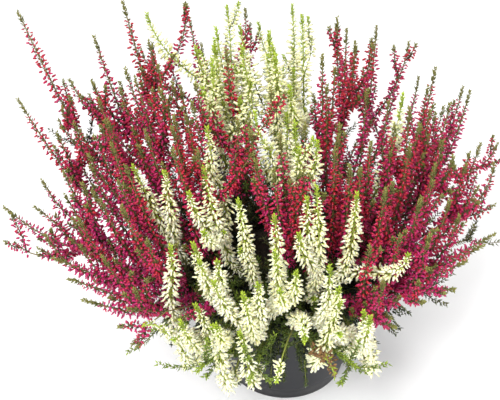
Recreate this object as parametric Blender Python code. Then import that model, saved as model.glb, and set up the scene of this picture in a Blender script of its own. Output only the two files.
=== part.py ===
"""Potted heather: red and white heather grown together in one dark plastic pot.

The pot stands on Z = 0 round the Z axis, and -Y is the side that the photograph shows.
Four plants stand in plain holes in the soil.  The woody, leafy stems of each plant are one
body, and each of its flowering sprays is one body that starts on the end of a stem: a main
spike of buds, with side spikes that fork from it.  Sizes are in millimetres, and the meshes
are made in metres.
"""
import math

import bmesh
import bpy
import numpy as np

MM = 0.001
GAP = 0.3                # between two pieces that touch
AROUND = 24              # sides of the pot and the soil
SHARP = math.radians(30) # edges of the pot that are steeper than this stay sharp

# The pot: radius and height of its outside, from the foot up to the rim
POT_HEIGHT = 100.0
FOOT_RADIUS = 44.0
FOOT_BAND = 12.0         # height of the set-back foot
FOOT_STEP = 1.2          # how far the foot is set back
LIP_RADIUS = 60.0
LIP_HEIGHT = 8.0
WALL_TOP_RADIUS = 57.0   # outside of the wall just under the lip
WALL = 2.2
FLOOR = 3.0
FOOT_EDGE = 1.5          # slope round the bottom's edge
EDGE = 1.0               # slopes at the foot band and the lip
LIP_DEPTH = 2.0          # how far the lip's slope reaches down inside
CUT_PAST = 5.0           # how far a cutter reaches past what it cuts
DRAIN_HOLES = 6
DRAIN_RADIUS = 5.0
DRAIN_CIRCLE = 26.0

# The soil and the holes that the plants stand in
SOIL_TOP = 88.0
SOIL_MOUND = 2.0         # how much higher the soil is in the middle
SOIL_BUMP = 0.8
SOIL_LEVEL_EDGE = 50.0   # past this distance from the middle the soil is level
SOIL_SLOPE = 10.0        # width of the mound's edge
SOIL_INSETS = (0.0, 3.0, 16.0, 29.0, 41.0)   # rings of the soil's top, in from the pot's wall
CROWN_SIDES = 10
CROWN_RADIUS = 6.0
CROWN_DEPTH = 24.0       # how deep a crown stands in its hole
CROWN_TOP = 97.0
ROOT_DEPTH = 3.0         # how deep a stem starts inside its crown

# The clump: directions below are measured from this point, just under the rim
CLUMP_MIDDLE = np.array([0.0, 0.0, 95.0])
DRIFT = np.array([-0.07, 0.0, 0.0])   # the whole clump leans a little to the left
RIM_CLEAR = 3.0          # between the rim and the leaves over it
SOIL_CLEAR = 4.0
INSIDE_POT = 46.0        # nearer the middle than this, a shoot has only the soil under it
OUTSIDE_POT = 76.0       # past this distance it may hang down beside the pot
LOWEST = 60.0            # and this is the lowest that it hangs
END_LEAN = 0.22          # lean of a shoot's end, of the lean of its place in the clump
TURN_UP = 0.75           # how far under its tip a shoot turns up, of the tip's height
TURN_RUN = 6.0           # and a little more
OUT_SHARE = 0.7          # how far out a shoot runs first, of the way to under its tip
OUT_RISE = 20.0          # how much it rises on that run
STEEP_RISE = 0.25        # and how much more near the middle of the clump, of its tip's height
FLOWER_SHARE = 0.6       # the most of a shoot that flowers
SIDE_START = 0.2         # how far a side spike first follows the main one, of its own length
SIDE_END = 0.5           # length of its straighter end, of its own length

# The shoots: points along each, and the one where its flowers start
POINTS = 17
BASE = 7
FORKS = (8, 9, 10, 11)   # points of the main spike where its side spikes fork, in turn
RING_STEP = 13.0         # between two rings of buds
RING_TURN = 0.62         # turn from one ring to the next, of the step between its points
STEM_RADIUS = 1.35
LEAF_REACH = 3.6         # from a stem's middle to the points of its leaves
LEAF_STEP = 26.0         # between two rings of leaves on a stem that flowers
LEAFY_STEP = 14.0        # and on a shoot that has leaves alone
LEAFY_LENGTH = 50.0      # the bushy end of such a shoot
LEAFY_EXTRA = 1.4        # how much farther its leaves reach there
SPIKE_REACH = {"red": 5.6, "white": 6.8, "dried": 6.0}
SPIKE_LENGTH = {"red": 98.0, "white": 92.0, "dried": 42.0}
SPIKE_AT = (0, 0.1, 0.68, 0.85, 1)             # places along a spike
SPIKE_WIDTH = (0.5, 1, 0.95, 0.62, 0.3)        # its width there, of its widest
CORE_SHARE = 0.42        # a spike's core, of its reach
CORE_LEAST = 1.0
LEAST_BUD = 0.4          # a bud that would stand out less than this is left flat
BUD_RISE = (0.12, 0.55, 0.7)   # height of a bud's point in its band, from root to tip
LEAST_RINGS = 3
FORK_SHARE = 0.46        # of the distance between two spikes of a spray, for each one's buds
FORK_LOOK = 3.0          # spacing of the points at which that distance is measured

# How the shoots are bent clear of each other
APART = 1.0              # between the bud points of two pieces
SPARE = 0.3              # how much more than that is aimed at
LOOK = 26.0              # pieces of shoots whose middles lie farther apart can't touch
PUSHES = 90              # steps
PUSH = 1.5               # how much of what is missing one step makes up
TIE_FADE = 8.0           # points of a side spike that follow its root

# Where each plant's crown stands, and its colour
CROWNS = {
    "red_left": ((-29.0, 6.0), "red"),
    "red_right": ((30.0, 6.0), "red"),
    "white_front": ((-3.0, -27.0), "white"),
    "white_back": ((0.0, 32.0), "white"),
}

# Each row is one spray, read off the photograph by eye, and guessed for the back: the tips of
# its spikes, the main one first.  A tip is its azimuth (0 towards the viewer, 90 to the right)
# and its lean from upright in degrees, and its distance in mm, all seen from CLUMP_MIDDLE.
# A fourth number is the lean of the spike's own end, where it isn't the usual one.
SPRAYS = {
    "red_left": (
        ((-108, 48, 246, 14), (-96, 51, 188)),
        ((-98, 56, 213, 18), (-88, 52, 186), (-86, 47, 184)),
        ((-78, 58, 185), (-75, 53, 180), (-66, 50, 178)),
        ((-82, 69, 197, 32), (-74, 62, 186, 35), (-79, 75, 187, 25), (-70, 69, 178, 35)),
        ((-110, 41, 203), (-104, 49, 194), (-101, 44, 184)),
        ((-118, 35, 210), (-110, 31, 184), (-136, 31, 190)),
        ((-87, 40, 184), (-77, 41, 180)),
        ((-85, 31, 184), (-92, 33, 186), (-85, 26, 184), (-71, 27, 182)),
        ((-65, 40, 182), (-56, 44, 176), (-72, 46, 178)),
        ((-58, 63, 186, 42), (-60, 55, 178)),
        ((-46, 65, 184, 42), (-48, 57, 176), (-39, 60, 168)),
        ((-50, 47, 176), (-40, 50, 170)),
        ((-91, 13, 176), (-62, 21, 180)),
        ((-47, 33, 174), (-56, 28, 178), (-33, 21, 168), (-20, 13, 172)),
        ((-30, 65, 150, 60), (-36, 71, 168, 95)),
        ((-150, 48, 184), (-166, 42, 178), (-134, 52, 180)),
        ((-122, 60, 186), (-108, 63, 184), (-138, 64, 178)),
        ((-157, 62, 180), (-170, 56, 176), (-166, 71, 168)),
    ),
    "red_right": (
        ((148, 25, 166), (157, 29, 170), (128, 18, 166), (126, 23, 166)),
        ((75, 6, 172), (80, 9, 164)),
        ((70, 26, 165), (66, 22, 164), (65, 30, 164)),
        ((112, 37, 168), (97, 32, 162)),
        ((89, 36, 166), (82, 32, 160), (66, 40, 162)),
        ((80, 45, 166), (78, 50, 166, 0), (70, 44, 160), (68, 52, 152, 10)),
        ((60, 58, 164, 40), (55, 50, 156)),
        ((48, 58, 160, 40), (42, 62, 158, 55), (34, 62, 152, 50)),
        ((38, 26, 162), (28, 30, 158)),
        ((44, 41, 160), (53, 40, 158), (36, 36, 152), (39, 50, 158)),
        ((19, 25, 162), (27, 21, 156)),
        ((24, 54, 152), (23, 46, 150), (26, 66, 146, 60)),
        ((-9, 29, 164), (-18, 27, 160), (3, 29, 164), (11, 33, 152)),
        ((150, 46, 176), (136, 44, 172), (164, 50, 172)),
        ((113, 51, 170), (122, 57, 172), (97, 57, 164)),
        ((140, 64, 170), (125, 68, 166), (157, 67, 168)),
    ),
    "white_front": (
        ((-38, 32, 160), (-46, 25, 166), (-38, 38, 160), (-29, 44, 154)),
        ((-62, 41, 164), (-50, 37, 162)),
        ((-20, 36, 160),),
        ((-6, 45, 157), (-7, 38, 160), (0, 49, 156), (-4, 53, 156)),
        ((8, 32, 161, -4), (4, 34, 158), (1, 41, 152)),
        ((-29, 47, 162), (-26, 50, 160), (-22, 49, 156)),
        ((-13, 54, 162), (-21, 53, 160), (-10, 52, 154)),
        ((9, 48, 160, 5), (11, 53, 156)),
        ((22, 35, 160), (32, 50, 158)),
        ((-27, 63, 161), (-18, 61, 164), (-36, 68, 160, 60), (-30, 70, 150, 60)),
        ((17, 59, 164), (11, 64, 150, 60)),
        ((2, 64, 154, 75), (-4, 72, 160, 80)),
    ),
    "white_back": (
        ((-122, 18, 178), (-150, 27, 180), (-103, 20, 176), (-121, 33, 196)),
        ((-86, 16, 174), (-92, 10, 176), (-67, 20, 170)),
        ((-100, 4, 174), (-135, 15, 175), (-130, 6, 178), (-60, 4, 173)),
        ((170, 13, 177), (-5, 10, 168)),
        ((0, 18, 164), (-28, 17, 164), (11, 23, 164), (2, 23, 158)),
        ((73, 24, 168),),
        ((178, 40, 178), (-172, 52, 176), (172, 58, 172)),
    ),
}

# Leafy shoots with no flowers, low down round the clump, given as the sprays are
LEAFY = {
    "red_left": ((-70, 80, 128, 60), (-120, 76, 138, 60), (-160, 78, 128, 60)),
    "red_right": ((52, 70, 128, 60), (80, 72, 128, 60), (118, 78, 130, 60), (160, 78, 124, 60)),
    "white_front": ((-22, 74, 156, 75), (-42, 76, 132, 70), (15, 73, 146, 75), (-11, 78, 140, 80)),
    "white_back": ((-178, 70, 126, 60),),
}

# One old spray at the front has dried brown; it is given as the sprays are
DRIED = (("white_front", ((9, 73, 152, 80),)),)

POT_COLOR = (0.045, 0.045, 0.052, 1)
SOIL_COLOR = (0.030, 0.020, 0.013, 1)
STEM_COLOR = (0.055, 0.085, 0.020, 1)
FLOWER_COLORS = {
    "red": (0.46, 0.010, 0.060, 1),
    "white": (0.86, 0.84, 0.60, 1),
    "dried": (0.30, 0.13, 0.04, 1),
}


def material(name, color, roughness):
    """A plain finish for one piece"""
    finish = bpy.data.materials.new(name)
    finish.use_nodes = True
    shader = finish.node_tree.nodes["Principled BSDF"]
    shader.inputs["Base Color"].default_value = color
    shader.inputs["Roughness"].default_value = roughness
    shader.inputs["Metallic"].default_value = 0.0
    return finish


def add_object(name, points, faces):
    """A mesh object from points in mm and faces"""
    mesh = bpy.data.meshes.new(name)
    mesh.from_pydata([tuple(p) for p in np.asarray(points) * MM], [], faces)
    mesh.validate()
    piece = bpy.data.objects.new(name, mesh)
    bpy.context.scene.collection.objects.link(piece)
    return piece


def keep_outer_skin(mesh):
    """Fill any hollow that a union sealed, and drop any loose scrap: only one skin stays"""
    shape = bmesh.new()
    shape.from_mesh(mesh)
    left = set(shape.verts)
    skins = []
    while left:
        skin, edge = set(), [left.pop()]
        while edge:
            vertex = edge.pop()
            skin.add(vertex)
            for link in vertex.link_edges:
                other = link.other_vert(vertex)
                if other in left:
                    left.remove(other)
                    edge.append(other)
        skins.append(skin)
    skins.sort(key=len)
    loose = [vertex for skin in skins[:-1] for vertex in skin]
    bmesh.ops.delete(shape, geom=loose, context="VERTS")
    shape.to_mesh(mesh)
    shape.free()


def combine(piece, others, operation):
    """Join the others to the piece, or cut them from it, and remove them"""
    if not others:
        return
    group = bpy.data.collections.new(piece.name + "_tools")
    for other in others:
        bpy.context.scene.collection.objects.unlink(other)
        group.objects.link(other)
    boolean = piece.modifiers.new("combine", "BOOLEAN")
    boolean.operation = operation
    boolean.operand_type = "COLLECTION"
    boolean.collection = group
    boolean.solver = "MANIFOLD"
    evaluated = piece.evaluated_get(bpy.context.evaluated_depsgraph_get())
    mesh = bpy.data.meshes.new_from_object(evaluated)
    keep_outer_skin(mesh)
    piece.modifiers.clear()
    piece.data = mesh
    for other in others:
        bpy.data.objects.remove(other)
    bpy.data.collections.remove(group)


def turned(name, profile):
    """A closed solid turned round Z from a profile (radius, height) that runs up its outside"""
    points = []
    for radius, height in profile:
        for i in range(AROUND):
            angle = 2 * math.pi * i / AROUND
            points.append((radius * math.cos(angle), radius * math.sin(angle), height))
    bottom = len(points)
    points += [(0, 0, profile[0][1]), (0, 0, profile[-1][1])]
    last = bottom - AROUND
    faces = []
    for i in range(AROUND):
        j = (i + 1) % AROUND
        for low in range(0, last, AROUND):
            faces.append((low + i, low + j, low + AROUND + j, low + AROUND + i))
        faces.append((bottom, j, i))
        faces.append((bottom + 1, last + i, last + j))
    return add_object(name, points, faces)


def post(name, middle, radius, bottom, top):
    """An upright prism with a low point on top"""
    angles = np.arange(CROWN_SIDES) * 2 * math.pi / CROWN_SIDES
    ring = np.stack([middle[0] + radius * np.cos(angles), middle[1] + radius * np.sin(angles)], 1)
    points = [(x, y, bottom) for x, y in ring] + [(x, y, top) for x, y in ring]
    points += [(*middle, bottom), (*middle, top + radius / 3)]
    faces = []
    for i in range(CROWN_SIDES):
        j = (i + 1) % CROWN_SIDES
        faces.append((i, j, CROWN_SIDES + j, CROWN_SIDES + i))
        faces.append((2 * CROWN_SIDES, j, i))
        faces.append((2 * CROWN_SIDES + 1, CROWN_SIDES + i, CROWN_SIDES + j))
    return add_object(name, points, faces)


def wall_radius(height):
    """Outside of the pot's wall at a height"""
    share = height / (POT_HEIGHT - LIP_HEIGHT)
    return FOOT_RADIUS + FOOT_STEP + share * (WALL_TOP_RADIUS - FOOT_RADIUS - FOOT_STEP)


def make_pot():
    """Tapered wall, a set-back foot, a rolled lip and a floor with drain holes round its middle"""
    lip = POT_HEIGHT - LIP_HEIGHT
    foot_top = wall_radius(FOOT_BAND) - FOOT_STEP
    outside = [
        (FOOT_RADIUS - FOOT_EDGE, 0.0),
        (FOOT_RADIUS, FOOT_EDGE),
        (foot_top, FOOT_BAND),
        (wall_radius(FOOT_BAND), FOOT_BAND + EDGE),
        (WALL_TOP_RADIUS, lip),
        (LIP_RADIUS, lip + EDGE),
        (LIP_RADIUS, POT_HEIGHT - EDGE),
        (LIP_RADIUS - EDGE, POT_HEIGHT),
    ]
    inside = [
        (LIP_RADIUS - WALL - EDGE, POT_HEIGHT),
        (wall_radius(lip) - WALL, lip - LIP_DEPTH),
        (wall_radius(FLOOR) - WALL - FOOT_STEP, FLOOR),
    ]
    pot = turned("pot", outside + inside)
    drains = []
    for i in range(DRAIN_HOLES):
        angle = 2 * math.pi * (i + 0.5) / DRAIN_HOLES
        middle = (DRAIN_CIRCLE * math.cos(angle), DRAIN_CIRCLE * math.sin(angle))
        drains.append(post("drain", middle, DRAIN_RADIUS, -CUT_PAST, FLOOR + CUT_PAST))
    combine(pot, drains, "DIFFERENCE")
    return pot


def soil_height(x, y):
    """Height of the soil's top: a low mound with small bumps, level near the pot's wall"""
    distance = math.hypot(x, y)
    inner = min(max((SOIL_LEVEL_EDGE - distance) / SOIL_SLOPE, 0.0), 1.0)
    bumps = SOIL_BUMP * math.sin(x * 0.31 + 1.0) * math.cos(y * 0.27)
    return SOIL_TOP + inner * (SOIL_MOUND + bumps)


def make_soil():
    """Soil that fills the pot, with a plain hole for each crown"""
    lip = POT_HEIGHT - LIP_HEIGHT
    foot = wall_radius(FLOOR) - WALL - FOOT_STEP - GAP
    climb = (SOIL_TOP - FLOOR) / (lip - LIP_DEPTH - FLOOR)
    edge = foot + climb * (wall_radius(lip) - WALL - GAP - foot)
    rings = [(edge - inset, SOIL_TOP) for inset in SOIL_INSETS]
    soil = turned("soil", [(foot, FLOOR + GAP)] + rings)
    for vertex in soil.data.vertices:
        if vertex.co.z > SOIL_TOP / 2 * MM:
            vertex.co.z = soil_height(vertex.co.x / MM, vertex.co.y / MM) * MM
    holes = []
    for middle, _ in CROWNS.values():
        radius = CROWN_RADIUS + GAP / math.cos(math.pi / CROWN_SIDES)
        bottom = SOIL_TOP - CROWN_DEPTH - GAP
        holes.append(post("hole", middle, radius, bottom, SOIL_TOP + 2 * CUT_PAST))
    combine(soil, holes, "DIFFERENCE")
    return soil


def place(azimuth, lean, reach):
    """The point that lies so far from the clump's middle in this direction"""
    turn, tilt = math.radians(azimuth), math.radians(lean)
    flat = math.sin(tilt)
    way = np.array([flat * math.sin(turn), -flat * math.cos(turn), math.cos(tilt)])
    return CLUMP_MIDDLE + reach * way


def heading(flat, lean):
    """A unit vector that leans so many degrees from upright towards a level direction"""
    tilt = math.radians(lean)
    return np.array([flat[0] * math.sin(tilt), flat[1] * math.sin(tilt), math.cos(tilt)])


def spaced(corners, lengths):
    """Points at these shares of the length of the cubic curve with four corners, and its length"""
    t = np.linspace(0, 1, 200)[:, None]
    a, b, c, d = corners
    curve = a * (1 - t) ** 3 + 3 * b * t * (1 - t) ** 2 + 3 * c * t ** 2 * (1 - t) + d * t ** 3
    steps = np.linalg.norm(np.diff(curve, axis=0), axis=1)
    run = np.concatenate([[0], np.cumsum(steps)])
    wanted = np.asarray(lengths) * run[-1]
    return np.stack([np.interp(wanted, run, curve[:, i]) for i in range(3)], 1), run[-1]


def end_way(tip):
    """The direction of a shoot's end: more upright than its place in the clump"""
    azimuth, lean = tip[:2]
    turn = math.radians(azimuth)
    flat = (math.sin(turn), -math.cos(turn))
    end_lean = tip[3] if len(tip) > 3 else END_LEAN * lean
    way = heading(flat, end_lean) + DRIFT
    return way / np.linalg.norm(way)


def main_shoot(crown, tip, length):
    """A shoot from its crown, low over the rim and out, that turns up to its tip"""
    end = place(*tip[:3])
    root = np.array([crown[0], crown[1], CROWN_TOP - ROOT_DEPTH])
    lift = end[2] - root[2]
    first = root + OUT_SHARE * (end - root)
    first[2] = root[2] + OUT_RISE + STEEP_RISE * lift * math.cos(math.radians(tip[1])) ** 2
    last = end - end_way(tip) * (TURN_UP * lift + TURN_RUN)
    _, run = spaced((root, first, last, end), [0])
    split = 1 - min(length, FLOWER_SHARE * run) / run
    shares = np.concatenate([
        np.linspace(0, split, BASE + 1),
        np.linspace(split, 1, POINTS - BASE)[1:],
    ])
    return spaced((root, first, last, end), shares)[0]


def side_shoot(main, fork, tip):
    """A side spike that leaves the main one at a point of it and ends at its own tip"""
    root = main[fork]
    end = place(*tip[:3])
    way = main[fork + 1] - main[fork]
    way = way / np.linalg.norm(way)
    distance = np.linalg.norm(end - root)
    first = root + way * distance * SIDE_START
    last = end - end_way(tip) * distance * SIDE_END
    return spaced((root, first, last, end), np.linspace(0, 1, POINTS))[0]


def spike_reach(colour, first):
    """How far the buds stand from the middle of a spike at each of its points"""
    t = np.linspace(0, 1, POINTS - first)
    return SPIKE_REACH[colour] * np.interp(t, SPIKE_AT, SPIKE_WIDTH)


class Clump:
    """All the shoots as arrays: points, reach at each point, and the piece of each segment"""

    def __init__(self):
        self.points = []
        self.reach = []
        self.piece = []
        self.spray = []
        self.tie = []
        self.names = []

    def add(self, points, reach, pieces, spray, tie=None):
        self.points.append(points)
        self.reach.append(reach)
        self.piece.append([self.number(name) for name in pieces])
        self.spray.append(self.number(spray))
        self.tie.append(tie)
        return len(self.points) - 1

    def number(self, name):
        if name not in self.names:
            self.names.append(name)
        return self.names.index(name)

    def add_spray(self, plant, name, colour, tips):
        crown = CROWNS[plant][0]
        main = main_shoot(crown, tips[0], SPIKE_LENGTH[colour])
        stem = np.full(BASE, LEAF_REACH)
        stem[:3] = STEM_RADIUS
        reach = np.concatenate([stem, spike_reach(colour, BASE)])
        pieces = ["plant_" + plant] * BASE + [name] * (POINTS - 1 - BASE)
        first = self.add(main, reach, pieces, name)
        for tip, fork in zip(tips[1:], FORKS):
            side = side_shoot(main, fork, tip)
            self.add(side, spike_reach(colour, 0), [name] * (POINTS - 1), name, (first, fork))

    def add_leafy(self, plant, index, tip):
        points = main_shoot(CROWNS[plant][0], tip, LEAFY_LENGTH)
        reach = np.full(POINTS, LEAF_REACH)
        reach[:3] = STEM_RADIUS
        reach[BASE:] = LEAF_REACH + LEAFY_EXTRA
        reach[-1] = CORE_LEAST
        name = "leafy_%s_%d" % (plant, index)
        self.add(points, reach, ["plant_" + plant] * (POINTS - 1), name)


def grow():
    """The clump before its shoots are bent clear of each other"""
    clump = Clump()
    for plant, rows in SPRAYS.items():
        colour = CROWNS[plant][1]
        for i, tips in enumerate(rows):
            clump.add_spray(plant, "spray_%s_%02d" % (plant, i + 1), colour, tips)
    for i, (plant, tips) in enumerate(DRIED):
        clump.add_spray(plant, "spray_dried_%02d" % (i + 1), "dried", tips)
    for plant, tips in LEAFY.items():
        for i, tip in enumerate(tips):
            clump.add_leafy(plant, i, tip)
    return clump


def nearest(p, u, q, v):
    """Shares s and t at which the segments p + s u and q + t v come nearest to each other"""
    w = p - q
    uu, uv, vv = (u * u).sum(1), (u * v).sum(1), (v * v).sum(1)
    uw, vw = (u * w).sum(1), (v * w).sum(1)
    s = np.clip((uv * vw - vv * uw) / np.maximum(uu * vv - uv * uv, 1e-9), 0, 1)
    t = np.clip((uv * s + vw) / vv, 0, 1)
    s = np.clip((uv * t - uw) / uu, 0, 1)
    return s, t


def close_pairs(clump, points, reach):
    """Segments of different pieces that lie near each other: numbers, shares, offset, reaches"""
    count = len(points)
    start = points[:, :-1].reshape(-1, 3)
    along = (points[:, 1:] - points[:, :-1]).reshape(-1, 3)
    low, high = reach[:, :-1].ravel(), reach[:, 1:].ravel()
    piece = np.array(clump.piece).ravel()
    spray = np.repeat(clump.spray, POINTS - 1)
    middle = start + along / 2
    square = (middle ** 2).sum(1)
    apart = square[:, None] + square[None, :] - 2 * middle @ middle.T
    near = (apart < LOOK ** 2) & (piece[:, None] != piece[None, :])
    near &= spray[:, None] != spray[None, :]
    i, j = np.nonzero(np.triu(near, 1))
    s, t = nearest(start[i], along[i], start[j], along[j])
    offset = start[i] + s[:, None] * along[i] - start[j] - t[:, None] * along[j]
    reach_i = low[i] + s * (high[i] - low[i])
    reach_j = low[j] + t * (high[j] - low[j])
    return i, j, s, t, offset, reach_i, reach_j, count


def over_rim(points, reach):
    """Lift points that would touch the soil or the pot's rim"""
    distance = np.hypot(points[..., 0], points[..., 1])
    floor = np.where(distance < INSIDE_POT, SOIL_TOP + SOIL_CLEAR, POT_HEIGHT + RIM_CLEAR)
    floor = np.where(distance > OUTSIDE_POT, LOWEST, floor)
    low = floor + reach
    low[:, :2] = 0
    points[..., 2] = np.maximum(points[..., 2], low)


def bend_clear(clump):
    """Bend the shoots apart, then draw in the buds that still lie too near another piece.

    In each of PUSHES steps, every two segments of different pieces that lie too near are moved
    away from each other, each by half of what is missing.  The moves are smoothed along each
    shoot, the crowns stay where they are, and a side spike keeps its root on the main one.
    """
    points = np.array(clump.points)
    reach = np.array(clump.reach)
    for _ in range(PUSHES):
        i, j, s, t, offset, reach_i, reach_j, count = close_pairs(clump, points, reach)
        distance = np.linalg.norm(offset, axis=1) + 1e-6
        missing = np.maximum(reach_i + reach_j + APART + SPARE - distance, 0)
        move = offset / distance[:, None] * (missing * 0.5)[:, None]
        total = np.zeros((count * POINTS, 3))
        weight = np.zeros(count * POINTS)
        for segment, share, sign in ((i, s, 1.0), (j, t, -1.0)):
            row = segment // (POINTS - 1) * POINTS + segment % (POINTS - 1)
            for end, part in ((row, 1 - share), (row + 1, share)):
                np.add.at(total, end, sign * move * part[:, None])
                np.add.at(weight, end, part * (missing > 0))
        total = (total / np.maximum(weight, 1.0)[:, None]).reshape(count, POINTS, 3)
        for _ in range(2):
            spread = np.pad(total, ((0, 0), (1, 1), (0, 0)), mode="edge")
            total = 0.25 * spread[:, :-2] + 0.5 * spread[:, 1:-1] + 0.25 * spread[:, 2:]
        hold = np.clip(np.arange(POINTS) / 3.0 - 0.3, 0, 1)
        points = points + PUSH * total * hold[None, :, None]
        over_rim(points, reach)
        for side, tie in enumerate(clump.tie):
            if tie:
                shift = points[tie[0], tie[1]] - points[side, 0]
                fade = np.clip(1 - np.arange(POINTS) / TIE_FADE, 0, 1)
                points[side] += shift * fade[:, None]
    i, j, s, t, offset, reach_i, reach_j, count = close_pairs(clump, points, reach)
    distance = np.linalg.norm(offset, axis=1)
    share = np.clip((distance - APART) / (reach_i + reach_j), 0, 1)
    trim = np.ones((count, POINTS))
    for segment in (i, j):
        shoot, point = segment // (POINTS - 1), segment % (POINTS - 1)
        np.minimum.at(trim, (shoot, point), share)
        np.minimum.at(trim, (shoot, point + 1), share)
    return points, reach * trim


def clear_forks(shoots):
    """Draw in the buds round each fork, where two spikes of one spray lie close together"""
    cleared = []
    for path, reach in shoots:
        reach = reach.copy()
        for other, _ in shoots:
            if other is path:
                continue
            fine = rings_along(other, np.zeros(len(other)), FORK_LOOK)[0]
            distance = np.linalg.norm(path[:, None] - fine[None], axis=2).min(1)
            reach = np.minimum(reach, FORK_SHARE * distance)
        cleared.append(reach)
    return cleared


def rings_along(path, reach, step):
    """The path and its reach at even distances of about one step"""
    run = np.concatenate([[0], np.cumsum(np.linalg.norm(np.diff(path, axis=0), axis=1))])
    count = max(LEAST_RINGS, int(round(run[-1] / step)))
    wanted = np.linspace(0, run[-1], count + 1)
    points = np.stack([np.interp(wanted, run, path[:, i]) for i in range(3)], 1)
    return points, np.interp(wanted, run, reach)


def stalk(name, path, reach, core, first, joint=None, blunt=False):
    """A stalk with buds or leaves round it, as one closed mesh.

    Rings of three points stand square to the path, each turned half a step from the last, so
    two rings have a band of triangles between them.  The triangles that stand on the lower ring
    are raised to a point, which is a bud: it lies at the reach from the path, and its height
    over the lower ring grows from the root to the tip.  A stalk ends in a point, or flat if it
    is blunt.  A stem and its flowers meet flat, both square to the way of their joint.
    """
    sides = 3
    along = np.gradient(path, axis=0)
    if joint is not None:
        along[-1 if blunt else 0] = joint
    along = along / np.linalg.norm(along, axis=1)[:, None]
    level = np.cross(along[len(path) // 2], (0, 0, 1.0))
    if np.linalg.norm(level) < 0.05:
        level = np.array([1.0, 0, 0])
    across = level - (along @ level)[:, None] * along
    across = across / np.linalg.norm(across, axis=1)[:, None]
    up = np.cross(along, across)
    count = len(path) - 1
    rows = count + 1 if blunt else count
    points, faces = [], [(2, 1, 0)]

    def spot(row, turn, radius):
        angle = 2 * math.pi * (turn + RING_TURN * row) / sides
        return path[row] + radius * (math.cos(angle) * across[row] + math.sin(angle) * up[row])

    for row in range(rows):
        for k in range(sides):
            points.append(spot(row, k, core[row]))
    tip = len(points)
    if blunt:
        faces.append((tip - 3, tip - 2, tip - 1))
    else:
        points.append(path[-1])
    for row in range(count):
        low, high = row * sides, (row + 1) * sides
        rise = np.interp(row / count, (0, 0.75, 1), BUD_RISE)
        for k in range(sides):
            a, b = low + k, low + (k + 1) % sides
            pointed = row + 1 == rows
            c = tip if pointed else high + k
            if row < first or reach[row] < core[row] + LEAST_BUD:
                faces.append((a, b, c))
            else:
                out = spot(row, k + 0.5, reach[row]) + rise * (path[row + 1] - path[row])
                points.append(out)
                bud = len(points) - 1
                faces += [(a, b, bud), (b, c, bud), (c, a, bud)]
            if not pointed:
                faces.append((c, b, high + (k + 1) % sides))
    return add_object(name, points, faces)


def joint_way(path):
    """The direction in which a stem meets its flowers"""
    way = path[BASE + 1] - path[BASE - 1]
    return way / np.linalg.norm(way)


def make_spray(name, shoots):
    """The spikes of one spray, joined in one body; the main one starts just off its stem"""
    main_path, main_reach = shoots[0]
    way = joint_way(main_path)
    flowers = main_path[BASE:].copy()
    flowers[0] += way * GAP / 2
    shoots[0] = (flowers, main_reach[BASE:])
    parts = []
    for i, ((path, core_reach), reach) in enumerate(zip(shoots, clear_forks(shoots))):
        rings, out = rings_along(path, reach, RING_STEP)
        core = np.maximum(CORE_SHARE * rings_along(path, core_reach, RING_STEP)[1], CORE_LEAST)
        parts.append(stalk(name, rings, out, core, min(i, 1), None if i else way))
    combine(parts[0], parts[1:], "UNION")
    parts[0].name = name
    return parts[0]


def make_plant(name, crown, shoots):
    """The crown and the leafy stems of one plant, joined in one body"""
    bottom = SOIL_TOP - CROWN_DEPTH
    plant = post(name, crown, CROWN_RADIUS, bottom, CROWN_TOP)
    stems = []
    for path, reach, leafy in shoots:
        way = None
        if not leafy:
            way = joint_way(path)
            path, reach = path[:BASE + 1].copy(), reach[:BASE + 1]
            path[-1] -= way * GAP / 2
        rings, out = rings_along(path, reach, LEAFY_STEP if leafy else LEAF_STEP)
        core = np.full(len(rings), STEM_RADIUS)
        stems.append(stalk("stem", rings, out, core, 2, way, not leafy))
    combine(plant, stems, "UNION")
    return plant


def make_plants(clump, points, reach):
    """The body of each plant, from the shoots that start at its crown"""
    plants = []
    for plant, (crown, _) in CROWNS.items():
        number = clump.number("plant_" + plant)
        shoots = []
        for i, path in enumerate(points):
            if clump.piece[i][0] == number:
                shoots.append((path, reach[i], clump.piece[i][-1] == number))
        plants.append(make_plant("plant_" + plant, crown, shoots))
    return plants


def make_sprays(clump, points, reach):
    """The body of each spray, with its colour"""
    sprays = []
    for number, name in enumerate(clump.names):
        if not name.startswith("spray_"):
            continue
        shoots = []
        for i, path in enumerate(points):
            if clump.spray[i] == number:
                shoots.append((path, reach[i]))
        colour = name.split("_")[1]
        sprays.append((make_spray(name, shoots), FLOWER_COLORS[colour]))
    return sprays


def finish(piece, color, roughness):
    """Give a piece its own material"""
    piece.data.materials.clear()
    piece.data.materials.append(material(piece.name, color, roughness))
    piece.data.calc_loop_triangles()
    print(piece.name, len(piece.data.loop_triangles))


def main():
    for item in list(bpy.data.objects):
        bpy.data.objects.remove(item)
    pot, soil = make_pot(), make_soil()
    for piece in (pot, soil):
        piece.data.shade_smooth()
        piece.data.set_sharp_from_angle(angle=SHARP)
    finish(pot, POT_COLOR, 0.45)
    finish(soil, SOIL_COLOR, 0.95)
    clump = grow()
    points, reach = bend_clear(clump)
    for plant in make_plants(clump, points, reach):
        finish(plant, STEM_COLOR, 0.8)
    for spray, color in make_sprays(clump, points, reach):
        finish(spray, color, 0.7)


main()
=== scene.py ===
# %% [markdown]
# # Red and white heather in one pot
#
# A heather is hundreds of thin shoots.  Each starts woody at the soil, runs out over the pot's
# rim, turns up, and ends in a spike of small buds with a leafy green tip.  This notebook dresses
# the plain solids of the model in fine pieces: a moulded pot, crumbly soil, stems, scale leaves
# and about thirty-five thousand buds, each a small surface worked out with numpy.

# %% Load the model that everything is fitted to
import math

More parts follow.
